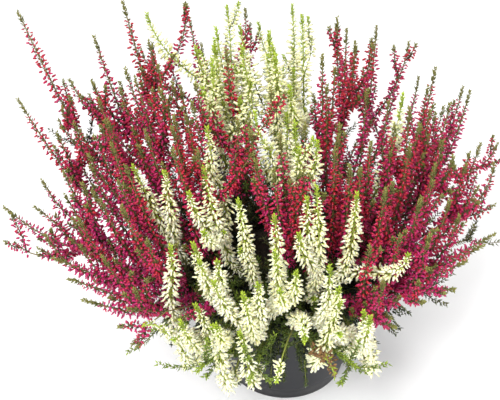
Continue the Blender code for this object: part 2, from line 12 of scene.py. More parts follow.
import bpy
import numpy as np
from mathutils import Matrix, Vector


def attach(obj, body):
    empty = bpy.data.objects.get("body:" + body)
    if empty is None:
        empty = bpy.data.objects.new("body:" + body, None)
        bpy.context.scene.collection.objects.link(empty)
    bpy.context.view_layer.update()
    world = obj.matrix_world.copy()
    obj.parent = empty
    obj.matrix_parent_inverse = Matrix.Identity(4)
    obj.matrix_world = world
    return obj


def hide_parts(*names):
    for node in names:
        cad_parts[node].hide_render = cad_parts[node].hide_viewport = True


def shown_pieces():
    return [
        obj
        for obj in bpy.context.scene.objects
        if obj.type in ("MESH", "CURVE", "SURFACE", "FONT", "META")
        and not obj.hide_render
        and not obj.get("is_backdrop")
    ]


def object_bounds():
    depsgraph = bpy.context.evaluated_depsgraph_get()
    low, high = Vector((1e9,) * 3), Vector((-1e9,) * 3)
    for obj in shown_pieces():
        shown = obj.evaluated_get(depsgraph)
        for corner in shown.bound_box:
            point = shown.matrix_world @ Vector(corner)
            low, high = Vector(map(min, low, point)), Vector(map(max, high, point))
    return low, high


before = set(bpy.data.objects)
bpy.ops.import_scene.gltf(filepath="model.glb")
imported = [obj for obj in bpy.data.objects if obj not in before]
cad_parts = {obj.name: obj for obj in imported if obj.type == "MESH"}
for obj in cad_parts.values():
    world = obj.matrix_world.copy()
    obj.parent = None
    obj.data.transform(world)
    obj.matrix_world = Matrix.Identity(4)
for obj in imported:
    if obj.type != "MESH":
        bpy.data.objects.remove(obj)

MM = 0.001
cad_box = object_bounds()
print("nodes to dress:", len(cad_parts))

# %% [markdown]
# ## The camera
#
# The photograph looks down on the plant by about forty degrees from a little under a metre away.
# The pot's ellipse gives the tilt, and the pot's size in the picture gives the distance.  A long
# lens keeps the spikes from leaning apart.

# %% Set the camera
PICTURE_WIDTH = 500
FOCAL_PIXELS = 1100.0
LOOK_DOWN = 40.0
CAMERA_PLACE = (-0.0255, -0.559, 0.619)

camera_data = bpy.data.cameras.new("camera")
camera_data.sensor_width = 36.0
camera_data.lens = camera_data.sensor_width * FOCAL_PIXELS / PICTURE_WIDTH
camera = bpy.data.objects.new("camera", camera_data)
camera.location = CAMERA_PLACE
camera.rotation_euler = (math.radians(90 - LOOK_DOWN), 0, 0)
bpy.context.scene.collection.objects.link(camera)
bpy.context.scene.camera = camera
print("lens", round(camera_data.lens, 1), "mm")

# %% [markdown]
# ## The light
#
# Heather needs light from above and in front, so that the buds shine and the inside of the clump
# falls into shade.  Three big soft panels and a pale sky do that.  The floor is plain and nearly
# white, and the colours are shown as they are, without a film curve.


# %% Hang the light panels
LIT_POINT = (0, 0, 0.15)     # the middle of the plant, in metres


def light_panel(name, place, size, power):
    """A square soft light that faces the middle of the plant"""
    data = bpy.data.lights.new(name, "AREA")
    data.shape = "SQUARE"
    data.size = size
    data.energy = power
    panel = bpy.data.objects.new(name, data)
    panel.location = place
    x, y, z = np.array(place) - LIT_POINT
    panel.rotation_euler = (math.atan2(math.hypot(x, y), z), 0, math.atan2(x, -y))
    bpy.context.scene.collection.objects.link(panel)


light_panel("key", (-0.5, -1.1, 1.5), 0.55, 32.0)
light_panel("fill", (0.6, -1.3, 0.9), 1.2, 14.0)
light_panel("top", (0.1, 0.3, 1.8), 0.9, 13.0)
sky = bpy.data.worlds.new("sky")
sky.use_nodes = True
sky.node_tree.nodes["Background"].inputs["Color"].default_value = (1, 1, 1, 1)
sky.node_tree.nodes["Background"].inputs["Strength"].default_value = 0.45
bpy.context.scene.world = sky
bpy.context.scene.view_settings.view_transform = "Standard"

# %% [markdown]
# ## Shader maths as Python
#
# A material is a small program.  To write it as one, a `Wire` stands for a socket, and its
# operators add Math nodes, so `1 - mask * 0.5` reads as it would on paper.  A `Finish` is one
# material, and its `add` makes any other node.


# %% Wires and finishes
class Wire:
    """A socket of a finish, with the operators that this notebook uses"""

    def __init__(self, finish, socket):
        self.finish = finish
        self.socket = socket

    def __add__(self, other):
        return self.finish.maths("ADD", self, other)

    def __sub__(self, other):
        return self.finish.maths("SUBTRACT", self, other)

    def __rsub__(self, other):
        return self.finish.maths("SUBTRACT", other, self)

    def __mul__(self, other):
        return self.finish.maths("MULTIPLY", self, other)

    __radd__ = __add__
    __rmul__ = __mul__

    def ramp(self, low, high):
        """0 at low, 1 at high, and a straight line between, held inside 0..1"""
        values = {"Value": self, "From Min": low, "From Max": high}
        return self.finish.add("ShaderNodeMapRange", {"clamp": True}, values)


class Finish:
    """A material with a Principled shader, and the ways to add nodes to it"""

    def __init__(self, name, roughness=0.6):
        self.material = bpy.data.materials.new(name)
        self.material.use_nodes = True
        self.tree = self.material.node_tree
        self.shader = self.tree.nodes["Principled BSDF"]
        self.shader.inputs["Roughness"].default_value = roughness

    def feed(self, socket, value):
        """Link a wire to the socket, or set a number, a vector or a colour on it"""
        if isinstance(value, Wire):
            self.tree.links.new(value.socket, socket)
        elif socket.type == "RGBA":
            socket.default_value = (*value[:3], 1.0)
        else:
            socket.default_value = value

    def add(self, kind, settings=None, values=None, output=0):
        """Any node: its settings first, then the values or wires of its sockets"""
        node = self.tree.nodes.new(kind)
        for name, setting in (settings or {}).items():
            setattr(node, name, setting)
        for key, value in (values or {}).items():
            self.feed(node.inputs[key], value)
        return Wire(self, node.outputs[output])

    def maths(self, operation, first, second):
        return self.add("ShaderNodeMath", {"operation": operation}, {0: first, 1: second})

    def blend(self, share, first, second):
        """A colour between two, by a share from 0 to 1"""
        settings = {"data_type": "RGBA", "clamp_factor": True}
        return self.add("ShaderNodeMix", settings, {0: share, 6: first, 7: second}, output=2)

    def place(self):
        """Where a point of the piece lies, in metres"""
        return self.add("ShaderNodeTexCoord", output=3)

    def noise(self, size, detail=3.0, rough=0.55, at=None):
        """Cloudy noise from 0 to 1, with lumps of about this size in metres"""
        values = {"Vector": at or self.place(), "Scale": 1 / size, "Detail": detail}
        values["Roughness"] = rough
        return self.add("ShaderNodeTexNoise", None, values)

    def marked(self, name):
        """A number that the mesh carries at each of its points"""
        return self.add("ShaderNodeAttribute", {"attribute_name": name}, output=2)

    def bump(self, height, depth, strength=0.6):
        """Raise the surface by a height from 0 to 1, times a depth in metres"""
        values = {"Height": height, "Distance": depth, "Strength": strength}
        self.feed(self.shader.inputs["Normal"], self.add("ShaderNodeBump", None, values))

    def set(self, **sockets):
        """Feed sockets of the shader, whose names have underscores for spaces here"""
        for name, value in sockets.items():
            self.feed(self.shader.inputs[name.replace("_", " ")], value)


print("a wire has", sum(name.startswith("__") for name in vars(Wire)), "special methods")

# %% Lay the floor
def pale_floor():
    """A level square, far wider than the picture"""
    half = 6.0
    mesh = bpy.data.meshes.new("floor")
    corners = [(-half, -half, 0), (half, -half, 0), (half, half, 0), (-half, half, 0)]
    mesh.from_pydata(corners, [], [(0, 1, 2, 3)])
    floor = bpy.data.objects.new("floor", mesh)
    bpy.context.scene.collection.objects.link(floor)
    paint = Finish("pale paper", 0.9)
    cloud = paint.noise(0.4)
    paint.set(Base_Color=paint.blend(cloud, (0.90, 0.90, 0.90), (0.94, 0.94, 0.94)))
    mesh.materials.append(paint.material)
    floor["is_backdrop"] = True
    print("floor", 2 * half, "m wide")


pale_floor()

# %% [markdown]
# ## Surfaces from arrays
#
# Every new piece below is an array of points and an array of triangles.  A `Batch` gathers many
# small surfaces, such as all the buds of a spray, with a few numbers for each point that the
# materials read, and turns them into one mesh.


# %% Gather small surfaces into one mesh
class Batch:
    """Points in mm, triangles, and marks (one number for each point) of one piece"""

    def __init__(self, *marks):
        self.points = []
        self.triangles = []
        self.marks = {name: [] for name in marks}
        self.count = 0

    def add(self, points, triangles, **marks):
        self.points.append(points)
        self.triangles.append(triangles + self.count)
        for name, values in marks.items():
            self.marks[name].append(np.broadcast_to(values, len(points)))
        self.count += len(points)

    def add_rings(self, rings, first, last, **marks):
        """Rings of points, as an array (ring, side, 3), joined side by side and closed by a point
        at each end"""
        count, sides = rings.shape[:2]
        points = np.concatenate([rings.reshape(-1, 3), [first], [last]])
        size = count * sides
        self.add(points, closed_rings(count, sides, size, size + 1), **marks)

    def piece(self, name, finish, slot, *nodes):
        """Make the mesh, and let it stand for these solids of the model"""
        points = np.concatenate(self.points) * MM
        triangles = np.concatenate(self.triangles)
        mesh = bpy.data.meshes.new(name)
        mesh.vertices.add(len(points))
        mesh.vertices.foreach_set("co", points.astype(np.float32).ravel())
        mesh.loops.add(triangles.size)
        mesh.loops.foreach_set("vertex_index", triangles.astype(np.int32).ravel())
        mesh.polygons.add(len(triangles))
        mesh.polygons.foreach_set("loop_start", np.arange(0, triangles.size, 3, dtype=np.int32))
        mesh.update(calc_edges=True)
        mesh.shade_smooth()
        for mark, values in self.marks.items():
            layer = mesh.attributes.new(mark, "FLOAT", "POINT")
            layer.data.foreach_set("value", np.concatenate(values).astype(np.float32))
        mesh.materials.append(finish.material)
        thing = bpy.data.objects.new(name, mesh)
        bpy.context.scene.collection.objects.link(thing)
        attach(thing, "root")
        if nodes:
            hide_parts(*nodes)
        return thing


def ring_triangles(rings, sides):
    """Triangles between rings of points, two for each four points that lie side by side"""
    low = np.arange(rings - 1)[:, None] * sides + np.arange(sides)[None]
    right = low - np.arange(sides)[None] + (np.arange(sides)[None] + 1) % sides
    up, far = low + sides, right + sides
    return np.stack([low, right, far, low, far, up], -1).reshape(-1, 3)


def closed_rings(rings, sides, first, last):
    """Rings joined side by side, with a fan to the point first and one to the point last"""
    here = np.arange(sides)
    there = (here + 1) % sides
    top = (rings - 1) * sides
    start = np.stack([there, here, np.full(sides, first)], 1)
    end = np.stack([top + here, top + there, np.full(sides, last)], 1)
    return np.concatenate([ring_triangles(rings, sides), start, end])


def towards(angle, first, second):
    """Directions at these angles from the first one, turned towards the second"""
    return np.cos(angle)[..., None] * first + np.sin(angle)[..., None] * second


def turns(sides):
    """Angles of the points of a ring"""
    return 2 * np.pi * np.arange(sides) / sides


def round_rings(radius, height, sides, middle=(0.0, 0.0)):
    """Level rings round an upright line through the middle, from a radius and a height for each
    ring, or for each of its points, as an array (ring, side, 3)"""
    x = middle[0] + radius * np.cos(turns(sides))
    y = middle[1] + radius * np.sin(turns(sides))
    return np.stack([x, y, np.broadcast_to(height, x.shape)], -1)


print("batches ready")

# %% [markdown]
# ## Where the shoots run
#
# The shoots follow the same rule as the solids: a spray is a row of tips, each given by the
# direction in which it lies from the middle of the clump, and every shoot runs low over the rim
# and then turns up to its tip.  The rows were read off the photograph, and those at the back
# are a guess in the same style.

# %% The sizes of the clump
POT_HEIGHT = 100.0
SOIL_TOP = 88.0
CROWN_TOP = 97.0
ROOT_DEPTH = 3.0         # how deep a stem starts inside its crown

# Directions below are measured from this point, just under the rim
CLUMP_MIDDLE = np.array([0.0, 0.0, 95.0])
DRIFT = np.array([-0.07, 0.0, 0.0])   # the whole clump leans a little to the left
END_LEAN = 0.22          # lean of a shoot's end, of the lean of its place in the clump
TURN_UP = 0.75           # how far under its tip a shoot turns up, of the tip's height
TURN_RUN = 6.0           # and a little more
OUT_SHARE = 0.7          # how far out a shoot runs first, of the way to under its tip
OUT_RISE = 20.0          # how much it rises on that run
STEEP_RISE = 0.25        # and how much more near the middle of the clump, of its tip's height
FLOWER_SHARE = 0.6       # the most of a shoot that flowers
SIDE_START = 0.2         # how far a side spike first follows the main one, of its own length
SIDE_END = 0.5           # length of its straighter end, of its own length

# The shoots: points along each, and the one where its flowers start
POINTS = 17
BASE = 7
STEM_RADIUS = 1.35
LEAF_REACH = 3.6         # from a stem's middle to the points of its leaves
SPIKE_REACH = {"red": 5.6, "white": 6.8, "dried": 6.0}
SPIKE_LENGTH = {"red": 98.0, "white": 92.0, "dried": 42.0}
SPIKE_AT = (0, 0.1, 0.68, 0.85, 1)             # places along a spike
SPIKE_WIDTH = (0.5, 1, 0.95, 0.62, 0.3)        # its width there, of its widest

print("points of a shoot", POINTS)

# %% The plants and the rows of tips
CROWNS = {
    "red_left": ((-29.0, 6.0), "red"),
    "red_right": ((30.0, 6.0), "red"),
    "white_front": ((-3.0, -27.0), "white"),
    "white_back": ((0.0, 32.0), "white"),
}

# Each row is one spray, read off the photograph, and guessed for the back: the tips of
# its spikes, the main one first.  A tip is its azimuth (0 towards the viewer, 90 to the right)
# and its lean from upright in degrees, and its distance in mm, all seen from CLUMP_MIDDLE.
# A fourth number is the lean of the spike's own end, where it isn't the usual one.
SPRAYS = {
    "red_left": (
        ((-108, 48, 246, 14), (-96, 51, 188)),
        ((-98, 56, 213, 18), (-88, 52, 186), (-86, 47, 184)),
        ((-78, 58, 185), (-75, 53, 180), (-66, 50, 178)),
        ((-82, 69, 197, 32), (-74, 62, 186, 35), (-79, 75, 187, 25), (-70, 69, 178, 35)),
        ((-110, 41, 203), (-104, 49, 194), (-101, 44, 184)),
        ((-118, 35, 210), (-110, 31, 184), (-136, 31, 190)),
        ((-87, 40, 184), (-77, 41, 180)),
        ((-85, 31, 184), (-92, 33, 186), (-85, 26, 184), (-71, 27, 182)),
        ((-65, 40, 182), (-56, 44, 176), (-72, 46, 178)),
        ((-58, 63, 186, 42), (-60, 55, 178)),
        ((-46, 65, 184, 42), (-48, 57, 176), (-39, 60, 168)),
        ((-50, 47, 176), (-40, 50, 170)),
        ((-91, 13, 176), (-62, 21, 180)),
        ((-47, 33, 174), (-56, 28, 178), (-33, 21, 168), (-20, 13, 172)),
        ((-30, 65, 150, 60), (-36, 71, 168, 95)),
        ((-150, 48, 184), (-166, 42, 178), (-134, 52, 180)),
        ((-122, 60, 186), (-108, 63, 184), (-138, 64, 178)),
        ((-157, 62, 180), (-170, 56, 176), (-166, 71, 168)),
    ),
    "red_right": (
        ((148, 25, 166), (157, 29, 170), (128, 18, 166), (126, 23, 166)),
        ((75, 6, 172), (80, 9, 164)),
        ((70, 26, 165), (66, 22, 164), (65, 30, 164)),
        ((112, 37, 168), (97, 32, 162)),
        ((89, 36, 166), (82, 32, 160), (66, 40, 162)),
        ((80, 45, 166), (78, 50, 166, 0), (70, 44, 160), (68, 52, 152, 10)),
        ((60, 58, 164, 40), (55, 50, 156)),
        ((48, 58, 160, 40), (42, 62, 158, 55), (34, 62, 152, 50)),
        ((38, 26, 162), (28, 30, 158)),
        ((44, 41, 160), (53, 40, 158), (36, 36, 152), (39, 50, 158)),
        ((19, 25, 162), (27, 21, 156)),
        ((24, 54, 152), (23, 46, 150), (26, 66, 146, 60)),
        ((-9, 29, 164), (-18, 27, 160), (3, 29, 164), (11, 33, 152)),
        ((150, 46, 176), (136, 44, 172), (164, 50, 172)),
        ((113, 51, 170), (122, 57, 172), (97, 57, 164)),
        ((140, 64, 170), (125, 68, 166), (157, 67, 168)),
    ),
    "white_front": (
        ((-38, 32, 160), (-46, 25, 166), (-38, 38, 160), (-29, 44, 154)),
        ((-62, 41, 164), (-50, 37, 162)),
        ((-20, 36, 160),),
        ((-6, 45, 157), (-7, 38, 160), (0, 49, 156), (-4, 53, 156)),
        ((8, 32, 161, -4), (4, 34, 158), (1, 41, 152)),
        ((-29, 47, 162), (-26, 50, 160), (-22, 49, 156)),
        ((-13, 54, 162), (-21, 53, 160), (-10, 52, 154)),
        ((9, 48, 160, 5), (11, 53, 156)),
        ((22, 35, 160), (32, 50, 158)),
        ((-27, 63, 161), (-18, 61, 164), (-36, 68, 160, 60), (-30, 70, 150, 60)),
        ((17, 59, 164), (11, 64, 150, 60)),
        ((2, 64, 154, 75), (-4, 72, 160, 80)),
    ),
    "white_back": (
        ((-122, 18, 178), (-150, 27, 180), (-103, 20, 176), (-121, 33, 196)),
        ((-86, 16, 174), (-92, 10, 176), (-67, 20, 170)),
        ((-100, 4, 174), (-135, 15, 175), (-130, 6, 178), (-60, 4, 173)),
        ((170, 13, 177), (-5, 10, 168)),
        ((0, 18, 164), (-28, 17, 164), (11, 23, 164), (2, 23, 158)),
        ((73, 24, 168),),
        ((178, 40, 178), (-172, 52, 176), (172, 58, 172)),
    ),
}

# Leafy shoots with no flowers, low down round the clump, given as the sprays are
LEAFY = {
    "red_left": ((-70, 80, 128, 60), (-120, 76, 138, 60), (-160, 78, 128, 60)),
    "red_right": ((52, 70, 128, 60), (80, 72, 128, 60), (118, 78, 130, 60), (160, 78, 124, 60)),
    "white_front": ((-22, 74, 156, 75), (-42, 76, 132, 70), (15, 73, 146, 75), (-11, 78, 140, 80)),
    "white_back": ((-178, 70, 126, 60),),
}

# One old spray at the front has dried brown; it is given as the sprays are
DRIED = (("white_front", ((9, 73, 152, 80),)),)

print("sprays", sum(len(plant) for plant in SPRAYS.values()) + len(DRIED))

# %% [markdown]
# One curve makes every shoot: a cubic from the crown that sets out low, passes over the rim and
# arrives at its tip from below.  A side spike is a shorter one, which leaves the main spike in
# the direction that this runs.

# %% The path of one shoot
def place(azimuth, lean, reach):
    """The point that lies so far from the clump's middle in this direction"""
    turn, tilt = math.radians(azimuth), math.radians(lean)
    flat = math.sin(tilt)
    way = np.array([flat * math.sin(turn), -flat * math.cos(turn), math.cos(tilt)])
    return CLUMP_MIDDLE + reach * way


def heading(flat, lean):
    """A unit vector that leans so many degrees from upright towards a level direction"""
    tilt = math.radians(lean)
    return np.array([flat[0] * math.sin(tilt), flat[1] * math.sin(tilt), math.cos(tilt)])


def spaced(corners, lengths):
    """Points at these shares of the length of the cubic curve with four corners, and its length"""
    t = np.linspace(0, 1, 200)[:, None]
    a, b, c, d = corners
    curve = a * (1 - t) ** 3 + 3 * b * t * (1 - t) ** 2 + 3 * c * t ** 2 * (1 - t) + d * t ** 3
    steps = np.linalg.norm(np.diff(curve, axis=0), axis=1)
    run = np.concatenate([[0], np.cumsum(steps)])
    wanted = np.asarray(lengths) * run[-1]
    return np.stack([np.interp(wanted, run, curve[:, i]) for i in range(3)], 1), run[-1]


def end_way(tip):
    """The direction of a shoot's end: more upright than its place in the clump"""
    azimuth, lean = tip[:2]
    turn = math.radians(azimuth)
    flat = (math.sin(turn), -math.cos(turn))
    end_lean = tip[3] if len(tip) > 3 else END_LEAN * lean
    way = heading(flat, end_lean) + DRIFT
    return way / np.linalg.norm(way)


def main_shoot(crown, tip, length):
    """A shoot from its crown, low over the rim and out, that turns up to its tip"""
    end = place(*tip[:3])
    root = np.array([crown[0], crown[1], CROWN_TOP - ROOT_DEPTH])
    lift = end[2] - root[2]
    first = root + OUT_SHARE * (end - root)
    first[2] = root[2] + OUT_RISE + STEEP_RISE * lift * math.cos(math.radians(tip[1])) ** 2
    last = end - end_way(tip) * (TURN_UP * lift + TURN_RUN)
    _, run = spaced((root, first, last, end), [0])
    split = 1 - min(length, FLOWER_SHARE * run) / run
    shares = np.concatenate([
        np.linspace(0, split, BASE + 1),
        np.linspace(split, 1, POINTS - BASE)[1:],
    ])
    return spaced((root, first, last, end), shares)[0]


def side_shoot(main, fork, tip):
    """A side spike that leaves the main one at a point of it and ends at its own tip"""
    root = main[fork]
    end = place(*tip[:3])
    way = main[fork + 1] - main[fork]
    way = way / np.linalg.norm(way)
    distance = np.linalg.norm(end - root)
    first = root + way * distance * SIDE_START
    last = end - end_way(tip) * distance * SIDE_END
    return spaced((root, first, last, end), np.linspace(0, 1, POINTS))[0]


def spike_reach(colour, first):
    """How far the buds stand from the middle of a spike at each of its points"""
    t = np.linspace(0, 1, POINTS - first)
    return SPIKE_REACH[colour] * np.interp(t, SPIKE_AT, SPIKE_WIDTH)


tallest = main_shoot(CROWNS["red_left"][0], SPRAYS["red_left"][0][0], SPIKE_LENGTH["red"])
print("the longest shoot rises", round(tallest[-1, 2] - tallest[0, 2]), "mm")

# %% Gather all the shoots
LEAFY_LENGTH = 50.0      # the bushy end of a shoot that has leaves alone
LEAFY_EXTRA = 1.4        # how much farther its leaves reach there
CORE_LEAST = 1.0         # reach at the very tip of a leafy shoot
FORKS = (8, 9, 10, 11)   # points of the main spike where its side spikes fork, in turn


class Clump:
    """All the shoots as arrays: points, reach at each point, and the piece of each segment"""

    def __init__(self):
        self.points = []
        self.reach = []
        self.piece = []
        self.spray = []
        self.tie = []
        self.names = []

    def add(self, points, reach, pieces, spray, tie=None):
        self.points.append(points)
        self.reach.append(reach)
        self.piece.append([self.number(name) for name in pieces])
        self.spray.append(self.number(spray))
        self.tie.append(tie)
        return len(self.points) - 1

    def number(self, name):
        if name not in self.names:
            self.names.append(name)
        return self.names.index(name)

    def add_spray(self, plant, name, colour, tips):
        crown = CROWNS[plant][0]
        main = main_shoot(crown, tips[0], SPIKE_LENGTH[colour])
        stem = np.full(BASE, LEAF_REACH)
        stem[:3] = STEM_RADIUS
        reach = np.concatenate([stem, spike_reach(colour, BASE)])
        pieces = ["plant_" + plant] * BASE + [name] * (POINTS - 1 - BASE)
        first = self.add(main, reach, pieces, name)
        for tip, fork in zip(tips[1:], FORKS):
            side = side_shoot(main, fork, tip)
            self.add(side, spike_reach(colour, 0), [name] * (POINTS - 1), name, (first, fork))

    def add_leafy(self, plant, index, tip):
        points = main_shoot(CROWNS[plant][0], tip, LEAFY_LENGTH)
        reach = np.full(POINTS, LEAF_REACH)
        reach[:3] = STEM_RADIUS
        reach[BASE:] = LEAF_REACH + LEAFY_EXTRA
        reach[-1] = CORE_LEAST
        name = "leafy_%s_%d" % (plant, index)
        self.add(points, reach, ["plant_" + plant] * (POINTS - 1), name)


def grow():
    """The clump before its shoots are bent clear of each other"""
    clump = Clump()
    for plant, rows in SPRAYS.items():
        colour = CROWNS[plant][1]
        for i, tips in enumerate(rows):
            clump.add_spray(plant, "spray_%s_%02d" % (plant, i + 1), colour, tips)
    for i, (plant, tips) in enumerate(DRIED):
        clump.add_spray(plant, "spray_dried_%02d" % (i + 1), "dried", tips)
    for plant, tips in LEAFY.items():
        for i, tip in enumerate(tips):
            clump.add_leafy(plant, i, tip)
    return clump


clump = grow()
print("shoots", len(clump.points), "in pieces", len(clump.names))

# %% [markdown]
# Grown by that rule alone, neighbours would run through each other.  A real plant's shoots push
# each other aside, and so do these, in many small steps.

# %% Bend the shoots clear of each other
APART = 1.0              # between the bud points of two pieces
SPARE = 0.3              # how much more than that is aimed at
LOOK = 26.0              # pieces of shoots whose middles lie farther apart can't touch
PUSHES = 90              # steps
PUSH = 1.5               # how much of what is missing one step makes up
TIE_FADE = 8.0           # points of a side spike that follow its root
RIM_CLEAR = 3.0          # between the rim and the leaves over it
SOIL_CLEAR = 4.0
INSIDE_POT = 46.0        # nearer the middle than this, a shoot has only the soil under it
OUTSIDE_POT = 76.0       # past this distance it may hang down beside the pot
LOWEST = 60.0            # and this is the lowest that it hangs


def nearest(p, u, q, v):
    """Shares s and t at which the segments p + s u and q + t v come nearest to each other"""
    w = p - q
    uu, uv, vv = (u * u).sum(1), (u * v).sum(1), (v * v).sum(1)
    uw, vw = (u * w).sum(1), (v * w).sum(1)
    s = np.clip((uv * vw - vv * uw) / np.maximum(uu * vv - uv * uv, 1e-9), 0, 1)
    t = np.clip((uv * s + vw) / vv, 0, 1)
    s = np.clip((uv * t - uw) / uu, 0, 1)
    return s, t


def close_pairs(clump, points, reach):
    """Segments of different pieces that lie near each other: numbers, shares, offset, reaches"""
    count = len(points)
    start = points[:, :-1].reshape(-1, 3)
    along = (points[:, 1:] - points[:, :-1]).reshape(-1, 3)
    low, high = reach[:, :-1].ravel(), reach[:, 1:].ravel()
    piece = np.array(clump.piece).ravel()
    spray = np.repeat(clump.spray, POINTS - 1)
    middle = start + along / 2
    square = (middle ** 2).sum(1)
    apart = square[:, None] + square[None, :] - 2 * middle @ middle.T
    near = (apart < LOOK ** 2) & (piece[:, None] != piece[None, :])
    near &= spray[:, None] != spray[None, :]
    i, j = np.nonzero(np.triu(near, 1))
    s, t = nearest(start[i], along[i], start[j], along[j])
    offset = start[i] + s[:, None] * along[i] - start[j] - t[:, None] * along[j]
    reach_i = low[i] + s * (high[i] - low[i])
    reach_j = low[j] + t * (high[j] - low[j])
    return i, j, s, t, offset, reach_i, reach_j, count


def lowest_at(points, outside=OUTSIDE_POT):
    """How low each point may lie: just over the soil, over the rim, or beside the pot"""
    distance = np.hypot(points[..., 0], points[..., 1])
    low = np.where(distance < INSIDE_POT, SOIL_TOP + SOIL_CLEAR, POT_HEIGHT + RIM_CLEAR)
    return np.where(distance > outside, LOWEST, low)


def over_rim(points, reach):
    """Lift points that would touch the soil or the pot's rim"""
    low = lowest_at(points) + reach
    low[:, :2] = 0
    points[..., 2] = np.maximum(points[..., 2], low)


def bend_clear(clump):
    """Bend the shoots apart, then draw in the buds that still lie too near another piece.

    In each of PUSHES steps, every two segments of different pieces that lie too near are moved
    away from each other, each by half of what is missing.  The moves are smoothed along each
    shoot, the crowns stay where they are, and a side spike keeps its root on the main one.
    """
    points = np.array(clump.points)
    reach = np.array(clump.reach)
    for _ in range(PUSHES):
        i, j, s, t, offset, reach_i, reach_j, count = close_pairs(clump, points, reach)
        distance = np.linalg.norm(offset, axis=1) + 1e-6
        missing = np.maximum(reach_i + reach_j + APART + SPARE - distance, 0)
        move = offset / distance[:, None] * (missing * 0.5)[:, None]
        total = np.zeros((count * POINTS, 3))
        weight = np.zeros(count * POINTS)
        for segment, share, sign in ((i, s, 1.0), (j, t, -1.0)):
            row = segment // (POINTS - 1) * POINTS + segment % (POINTS - 1)
            for end, part in ((row, 1 - share), (row + 1, share)):
                np.add.at(total, end, sign * move * part[:, None])
                np.add.at(weight, end, part * (missing > 0))
        total = (total / np.maximum(weight, 1.0)[:, None]).reshape(count, POINTS, 3)
        for _ in range(2):
            spread = np.pad(total, ((0, 0), (1, 1), (0, 0)), mode="edge")
            total = 0.25 * spread[:, :-2] + 0.5 * spread[:, 1:-1] + 0.25 * spread[:, 2:]
        hold = np.clip(np.arange(POINTS) / 3.0 - 0.3, 0, 1)
        points = points + PUSH * total * hold[None, :, None]
        over_rim(points, reach)
        for side, tie in enumerate(clump.tie):
            if tie:
                shift = points[tie[0], tie[1]] - points[side, 0]
                fade = np.clip(1 - np.arange(POINTS) / TIE_FADE, 0, 1)
                points[side] += shift * fade[:, None]
    i, j, s, t, offset, reach_i, reach_j, count = close_pairs(clump, points, reach)
    distance = np.linalg.norm(offset, axis=1)
    share = np.clip((distance - APART) / (reach_i + reach_j), 0, 1)
    trim = np.ones((count, POINTS))
    for segment in (i, j):
        shoot, point = segment // (POINTS - 1), segment % (POINTS - 1)
        np.minimum.at(trim, (shoot, point), share)
        np.minimum.at(trim, (shoot, point + 1), share)
    return points, reach * trim


points, reach = bend_clear(clump)
moved = np.linalg.norm(points - np.array(clump.points), axis=2).max()
print("the most that a point was moved:", round(float(moved), 1), "mm")

# %% [markdown]
# ## Smooth paths
#
# A shoot has only a few points so far.  A Catmull-Rom curve through them gives the fine path that
# stems, leaves and buds are set along, and a frame of three directions at any length along it
# says where outwards is.

# %% Curves and the frame along them
SMOOTH = 6               # fine points on each stretch of a path
GOLDEN = 2.39996         # turn from one bud to the next, in radians, as plants do it
rng = np.random.default_rng(11)


class Path:
    """A smooth path: on each stretch a cubic whose slope at a point is half the step between
    the two points beside it, and the length run up to each fine point"""

    def __init__(self, controls):
        before, after = 2 * controls[:1] - controls[1:2], 2 * controls[-1:] - controls[-2:-1]
        ends = np.concatenate([before, controls, after])
        u = np.linspace(0, 1, SMOOTH, endpoint=False)[None, :, None]
        a, b, c, d = (ends[i:len(ends) - 3 + i][:, None] for i in range(4))
        curve = b + u * (c - a) / 2 + u ** 2 * (2 * a - 5 * b + 4 * c - d) / 2
        curve = curve + u ** 3 * (3 * b - a - 3 * c + d) / 2
        self.line = np.concatenate([curve.reshape(-1, 3), controls[-1:]])
        steps = np.linalg.norm(np.diff(self.line, axis=0), axis=1)
        self.run = np.concatenate([[0], np.cumsum(steps)])
        self.at_controls = self.run[::SMOOTH]
        self.length = self.run[-1]

    def read(self, values, wanted):
        return np.stack([np.interp(wanted, self.run, values[:, i]) for i in range(3)], 1)

    def frame(self, wanted):
        """The place, and the directions along, across and up from the path, at these lengths"""
        along = unit(self.read(np.gradient(self.line, axis=0), wanted))
        level = np.cross(self.line[-1] - self.line[0], (0, 0, 1.0)) + (1e-3, 0, 0)
        across = unit(level - (along @ level)[:, None] * along)
        return self.read(self.line, wanted), along, across, np.cross(along, across)


def unit(vectors):
    """Each vector at length one"""
    return vectors / np.maximum(np.linalg.norm(vectors, axis=-1, keepdims=True), 1e-9)


def tube(batch, path, lengths, radius, sides, **marks):
    """A round stem along a path: a ring of points at each length, closed by a point at each end"""
    place, along, across, up = path.frame(lengths)
    ring = towards(turns(sides), across[:, None], up[:, None])
    wall = place[:, None] + radius[:, None, None] * ring
    batch.add_rings(wall, place[0] - along[0] * 0.2, place[-1] + along[-1] * 0.4, **marks)


paths = [Path(shoot) for shoot in points]
print("length of all shoots", round(sum(path.length for path in paths) / 1000, 1), "m")

# %% [markdown]
# ## One bud, one leaf
#
# A heather bud is a tiny bell of four petals on a short neck, with its four tips a little apart.
# Four points round it are enough, because it is only 4 mm long: two rings and two ends.
# A scale leaf is smaller still, so it is a flat three-sided spindle.

# %% Small shapes to repeat
SLIM_RINGS = ((0.50, 1.0), (1.0, 0.62))      # share of the length, of the radius
ROUND_RINGS = ((0.42, 1.0), (1.0, 0.58))
PETAL_COUNT = 4
PETAL_TWIST = 0.35       # turn from one ring of a bud to the next, in radians
CUP = 0.14               # how deep the cup between the petals' tips is, of the bud's length


